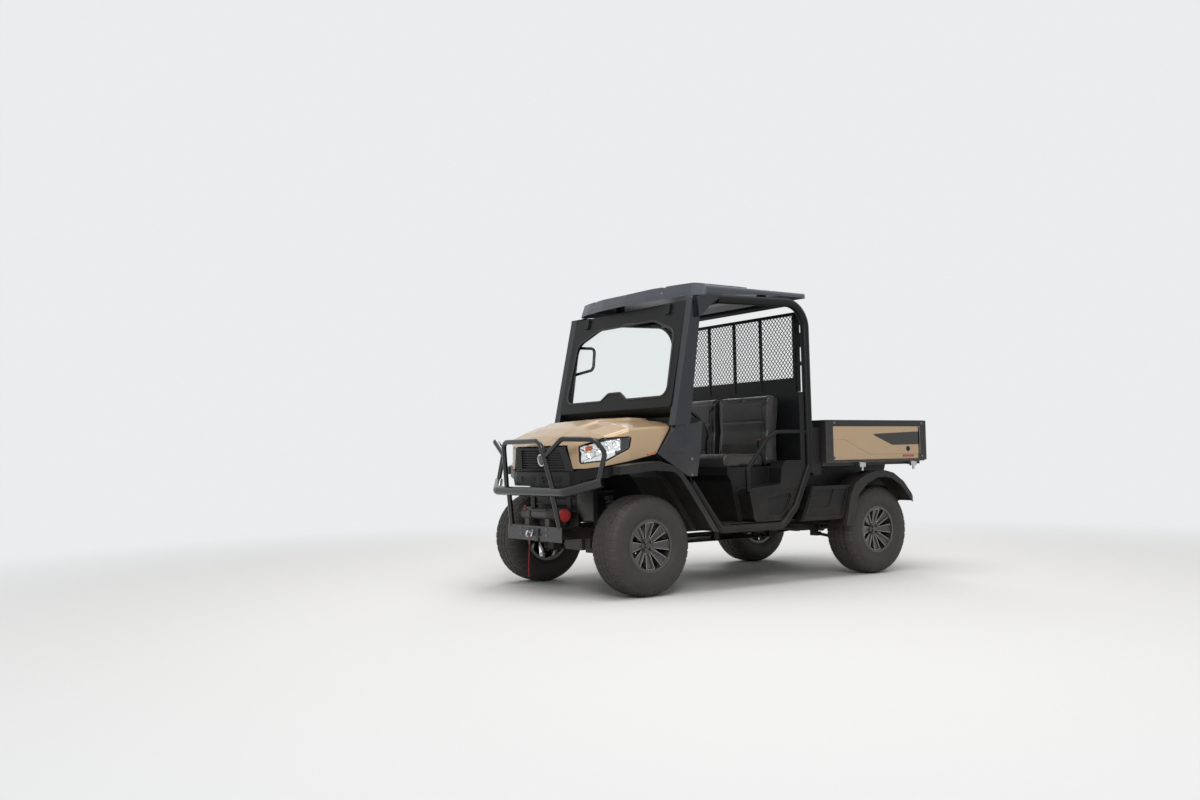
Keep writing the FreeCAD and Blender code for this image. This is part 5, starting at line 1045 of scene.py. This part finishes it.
kept("winch_motor_ribs", *stacked(fins), "chassis", winch_black, "black_plastic", sharp=32)

# Cargo bed: the tub is pressed and ribbed steel, powder-coated black; a bare black stripe tapers along each side
# panel, with a round button and a red reflector at its rear end.
bed_coat = finished("bed_textured_coat", (0.009, 0.0093, 0.0102), 0.12, 0.52, (0.003, 420, 0.3, 0.0006),
                    (0.25, 0.6, 1.1, 0.14), 0.1)
dressed(bed_coat, "bed_tub", "tailgate")
kept("tailgate_panel", *rounded_box((-0.720, 1.5335, 0.850), (0.720, 1.5388, 1.062), 0.0015), "tailgate",
     tan_paint, "tan_paint", smooth=False)
stripe_film = finished("stripe_film", (0.012, 0.0125, 0.0135), 0.02, 0.3, (0.0005, 900, 0.05, 0.0002),
                       (0.2, 0.6, 1.2, 0), 0.05)


def loop_area(loop):
    """Twice a loop's area in y and z, above zero where it runs from y towards z."""
    return np.sum(loop[:, 0] * np.roll(loop[:, 1], -1) - np.roll(loop[:, 0], -1) * loop[:, 1])


def flat_plate(outline_yz, x_face, thickness, sign):
    """A thin plate on a side panel: an outline in y and z, carried outwards by its thickness."""
    line = np.asarray(outline_yz, float)
    count = len(line)
    inner = np.column_stack([np.full(count, sign * x_face), line])
    outer = np.column_stack([np.full(count, sign * (x_face + thickness)), line])
    points = np.concatenate([inner, outer])
    sides = [[k, (k + 1) % count, count + (k + 1) % count, count + k] for k in range(count)]
    faces = [list(range(count))[::-1], list(range(count, 2 * count))] + sides
    return points, flipped(faces, loop_area(line) * sign <= 0)


PANEL_FACE = 0.7741
LAMP_FACE = 1.432
LAMP_FOOT = 0.5985
STRIPE = rounded_loop([(0.942, 1.006, 0.006), (1.161, 0.926, 0.020), (1.466, 0.928, 0.010), (1.461, 1.024, 0.010)])
stripes, studs, glow = [], [], []
for sign in (1, -1):
    stripes.append(flat_plate(STRIPE, PANEL_FACE, 0.0006, sign))
    studs.append(turned_shape((sign * 0.7738, 1.333, 0.897), (sign, 0, 0), [(-0.002, 0.019), (0.003, 0.019),
                                                                         (0.0045, 0.016), (0.0035, 0.010)], 32))
    glow.append(flat_plate(rounded_loop([(1.280, 0.838, 0.004), (1.400, 0.838, 0.004), (1.400, 0.853, 0.004),
                                         (1.280, 0.853, 0.004)]), 0.7712, 0.0035, sign))
kept("bed_stripes", *stacked(stripes), "bed", stripe_film, "black_plastic", smooth=False)
kept("bed_buttons", *stacked(studs), "bed", smooth_black, "black_plastic", sharp=32)
red_glass = finished("red_reflex_lens", (0.42, 0.006, 0.008), (0.5, 0.05, 0.05), 0.14, (0.001, 260, 0.25, 0.0008),
                     (0.2, 0.4, 1.1, 0.05), 0.05, Coat_Weight=0.7)
kept("bed_reflectors", *stacked(glow), "bed", red_glass, "red_lens", smooth=False)
lamp_finish = finished("tail_lamp_and_stem", (0.42, 0.006, 0.008), (0.5, 0.05, 0.05), 0.16,
                       (0.001, 260, 0.2, 0.0008), (0.2, 0.4, 1.1, 0.05), 0.05)
lamp_parts = lamp_finish.node_tree
red_part = reckoned(lamp_parts, "MULTIPLY", past(lamp_parts, "Z", LAMP_FOOT), past(lamp_parts, "Y", LAMP_FACE))
fed(lamp_finish, "Base Color", mixed(lamp_parts, red_part, (0.008, 0.008, 0.009, 1), own_colour(lamp_finish)))
dressed(lamp_finish, "tail_lamps")

# Hood side markers: a slim amber lens let into each lower rear corner of the hood, in a black surround.
# Both follow the hood's own surface, which rays from the side find.
marker_line = [(-0.998, 0.887, 0.004), (-0.926, 0.904, 0.003), (-0.925, 0.894, 0.003), (-0.976, 0.882, 0.003)]
marker_tree = surface_of("hood")
lenses, surrounds = [], []
for sign in (1, -1):
    for grow, proud, group in ((0.0, 0.0016, lenses), (0.004, 0.0008, surrounds)):
        loop = rounded_loop(marker_line, 6)
        centre = loop.mean(0)
        away = np.linalg.norm(loop - centre, axis=1)[:, None]
        loop = centre + (loop - centre) * (away + grow) / away
        on_hood = []
        for y, z in np.concatenate([loop, centre[None, :]]):
            hit, _, _, _ = marker_tree.ray_cast(Vector((sign * 1.5, y, z)), Vector((-sign, 0, 0)))
            on_hood.append(hit.x if hit is not None and abs(hit.x) > 0.55 else sign * 0.640)
        on_hood = np.array(on_hood)
        count = len(loop)
        rings = [np.column_stack([on_hood[:count] + sign * rise, centre + (loop - centre) * size])
                 for rise, size in ((-0.002, 1.0), (proud * 0.6, 1.0), (proud, 0.9))]
        crown = [[on_hood[count] + sign * proud * 1.6, *centre]]
        points = np.concatenate([*rings, crown])
        faces = grid_faces(3, count, close_columns=True)
        faces += [[2 * count + k, 3 * count, 2 * count + (k + 1) % count] for k in range(count)]
        group.append((points, flipped(faces, loop_area(loop) * sign > 0)))
kept("hood_marker_lenses", *stacked(lenses), "hood", amber, "red_lens")
kept("hood_marker_surrounds", *stacked(surrounds), "hood", smooth_black, "black_plastic")

# Coolant hose: a braided steel line that rises beside the left box column.
# A crimped collar holds its foot.
hose = carried_tube([(0.655, 0.352, 0.700), (0.662, 0.356, 0.760), (0.664, 0.358, 0.830), (0.660, 0.356, 0.900)],
                    0.009, 14, 10)
collar = turned_shape((0.655, 0.352, 0.700), (0.1, 0.05, 1), [(-0.012, 0.012), (0.014, 0.012), (0.016, 0.009)], 16)
braid = finished("braided_line", (0.42, 0.43, 0.44), 0.6, 0.35, (0.001, 1100, 0.5, 0.0006), (0.2, 0.4, 1, 0), 0.08,
                 Metallic=0.9)
kept("coolant_hoses", *stacked([hose, collar]), "chassis", braid, "galvanised")

# Roof tabs and pillar clips: dull plated tabs hold the roof's front lip in its channels, and an amber clip is
# pinned to each pillar's edge.
roof_tree = surface_of("roof")
tabs = []
for x in (-0.40, 0.40):
    front = roof_tree.ray_cast(Vector((x, -1.5, 1.962)), Vector((0, 1, 0)))[0].y
    tabs.append(rounded_box((x - 0.014, front - 0.003, 1.955), (x + 0.014, front + 0.002, 1.969), 0.001))


def side_box(sign, near, far, low, high, round_by):
    """A box from near to far of the middle on the left or right, between two places in y and z."""
    left, right = sorted((sign * near, sign * far))
    return rounded_box((left, *low), (right, *high), round_by)


clips = [side_box(sign, 0.657, 0.690, (-0.7000, 1.560), (-0.6930, 1.580), 0.002) for sign in (1, -1)]
kept("roof_tabs", *stacked(tabs), "chassis", plated, "galvanised", smooth=False)
kept("pillar_clips", *stacked(clips), "chassis", amber, "red_lens", smooth=False)

# Rear screen flanges: folded sheet strips, powder-coated like the frame.
# They close the gap between the mesh panel's frame and the rear legs.
flanges = [side_box(sign, 0.6405, 0.6840, (0.3375, 1.306), (0.3395, 1.862), 0.0005) for sign in (1, -1)]
kept("rear_screen_flanges", *stacked(flanges), "chassis", powder_coat, "black_steel", smooth=False)

# Bed edge rails: folded steel strips in the bed's own black coat.
# They close each side panel's foot and its rear end.
FOOT_RAIL = [(0.553, 0.8065), (1.4665, 0.8065), (1.4665, 0.8250), (0.553, 0.8250)]
END_RAIL = [(1.4500, 0.8250), (1.4665, 0.8250), (1.4665, 1.0580), (1.4500, 1.0580)]
rails = [flat_plate(line, 0.7705, 0.0042, sign) for sign in (1, -1) for line in (FOOT_RAIL, END_RAIL)]
kept("bed_edge_rails", *stacked(rails), "bed", bed_coat, "black_steel", smooth=False)

# Cowl joints: each cowl side is made of two panels.
# A black rubber strip shows along their joint.
COWL_JOINT = [(-0.855, 0.9010), (-0.605, 0.8850), (-0.605, 0.8875), (-0.855, 0.9035)]
joint_strips = [flat_plate(COWL_JOINT, 0.7196, 0.0012, sign) for sign in (1, -1)]
kept("cowl_joint_strips", *stacked(joint_strips), "chassis", gasket_rubber, "black_plastic", smooth=False)

# Fasteners: dull plated hexagon bolts with flanges hold the winch plate, the pillars' feet, the cowl sides and the
# bed's corners. Each stands on its panel's face, with its head outwards.
FRONT, SIDE = (0, -1, 0), (1, 0, 0)
BOLTS = {  # body: rows of place on the left, outward axis, across flats
    "chassis": [((0.160, -1.4365, 0.418), FRONT, 0.013), ((0.160, -1.4365, 0.378), FRONT, 0.013),
                ((0.090, -1.4365, 0.396), FRONT, 0.010), ((0.6745, -0.690, 1.230), FRONT, 0.013),
                ((0.6745, -0.690, 1.300), FRONT, 0.013), ((0.7198, -0.684, 0.852), SIDE, 0.013),
                ((0.7198, -0.687, 0.750), SIDE, 0.013)],
    "bed": [((PANEL_FACE + 0.0001, y, z), SIDE, 0.013) for y in (0.560, 1.490) for z in (1.085, 0.840)],
}
for body, rows in BOLTS.items():
    heads = [hex_head(place * np.array([sign, 1, 1]), axis * np.array([sign, 1.0, 1.0]), flats, flats * 0.5)
             for place, axis, flats in rows for sign in (1, -1)]
    kept("bolts_" + body, *stacked(heads), body, plated, "galvanised", sharp=25)
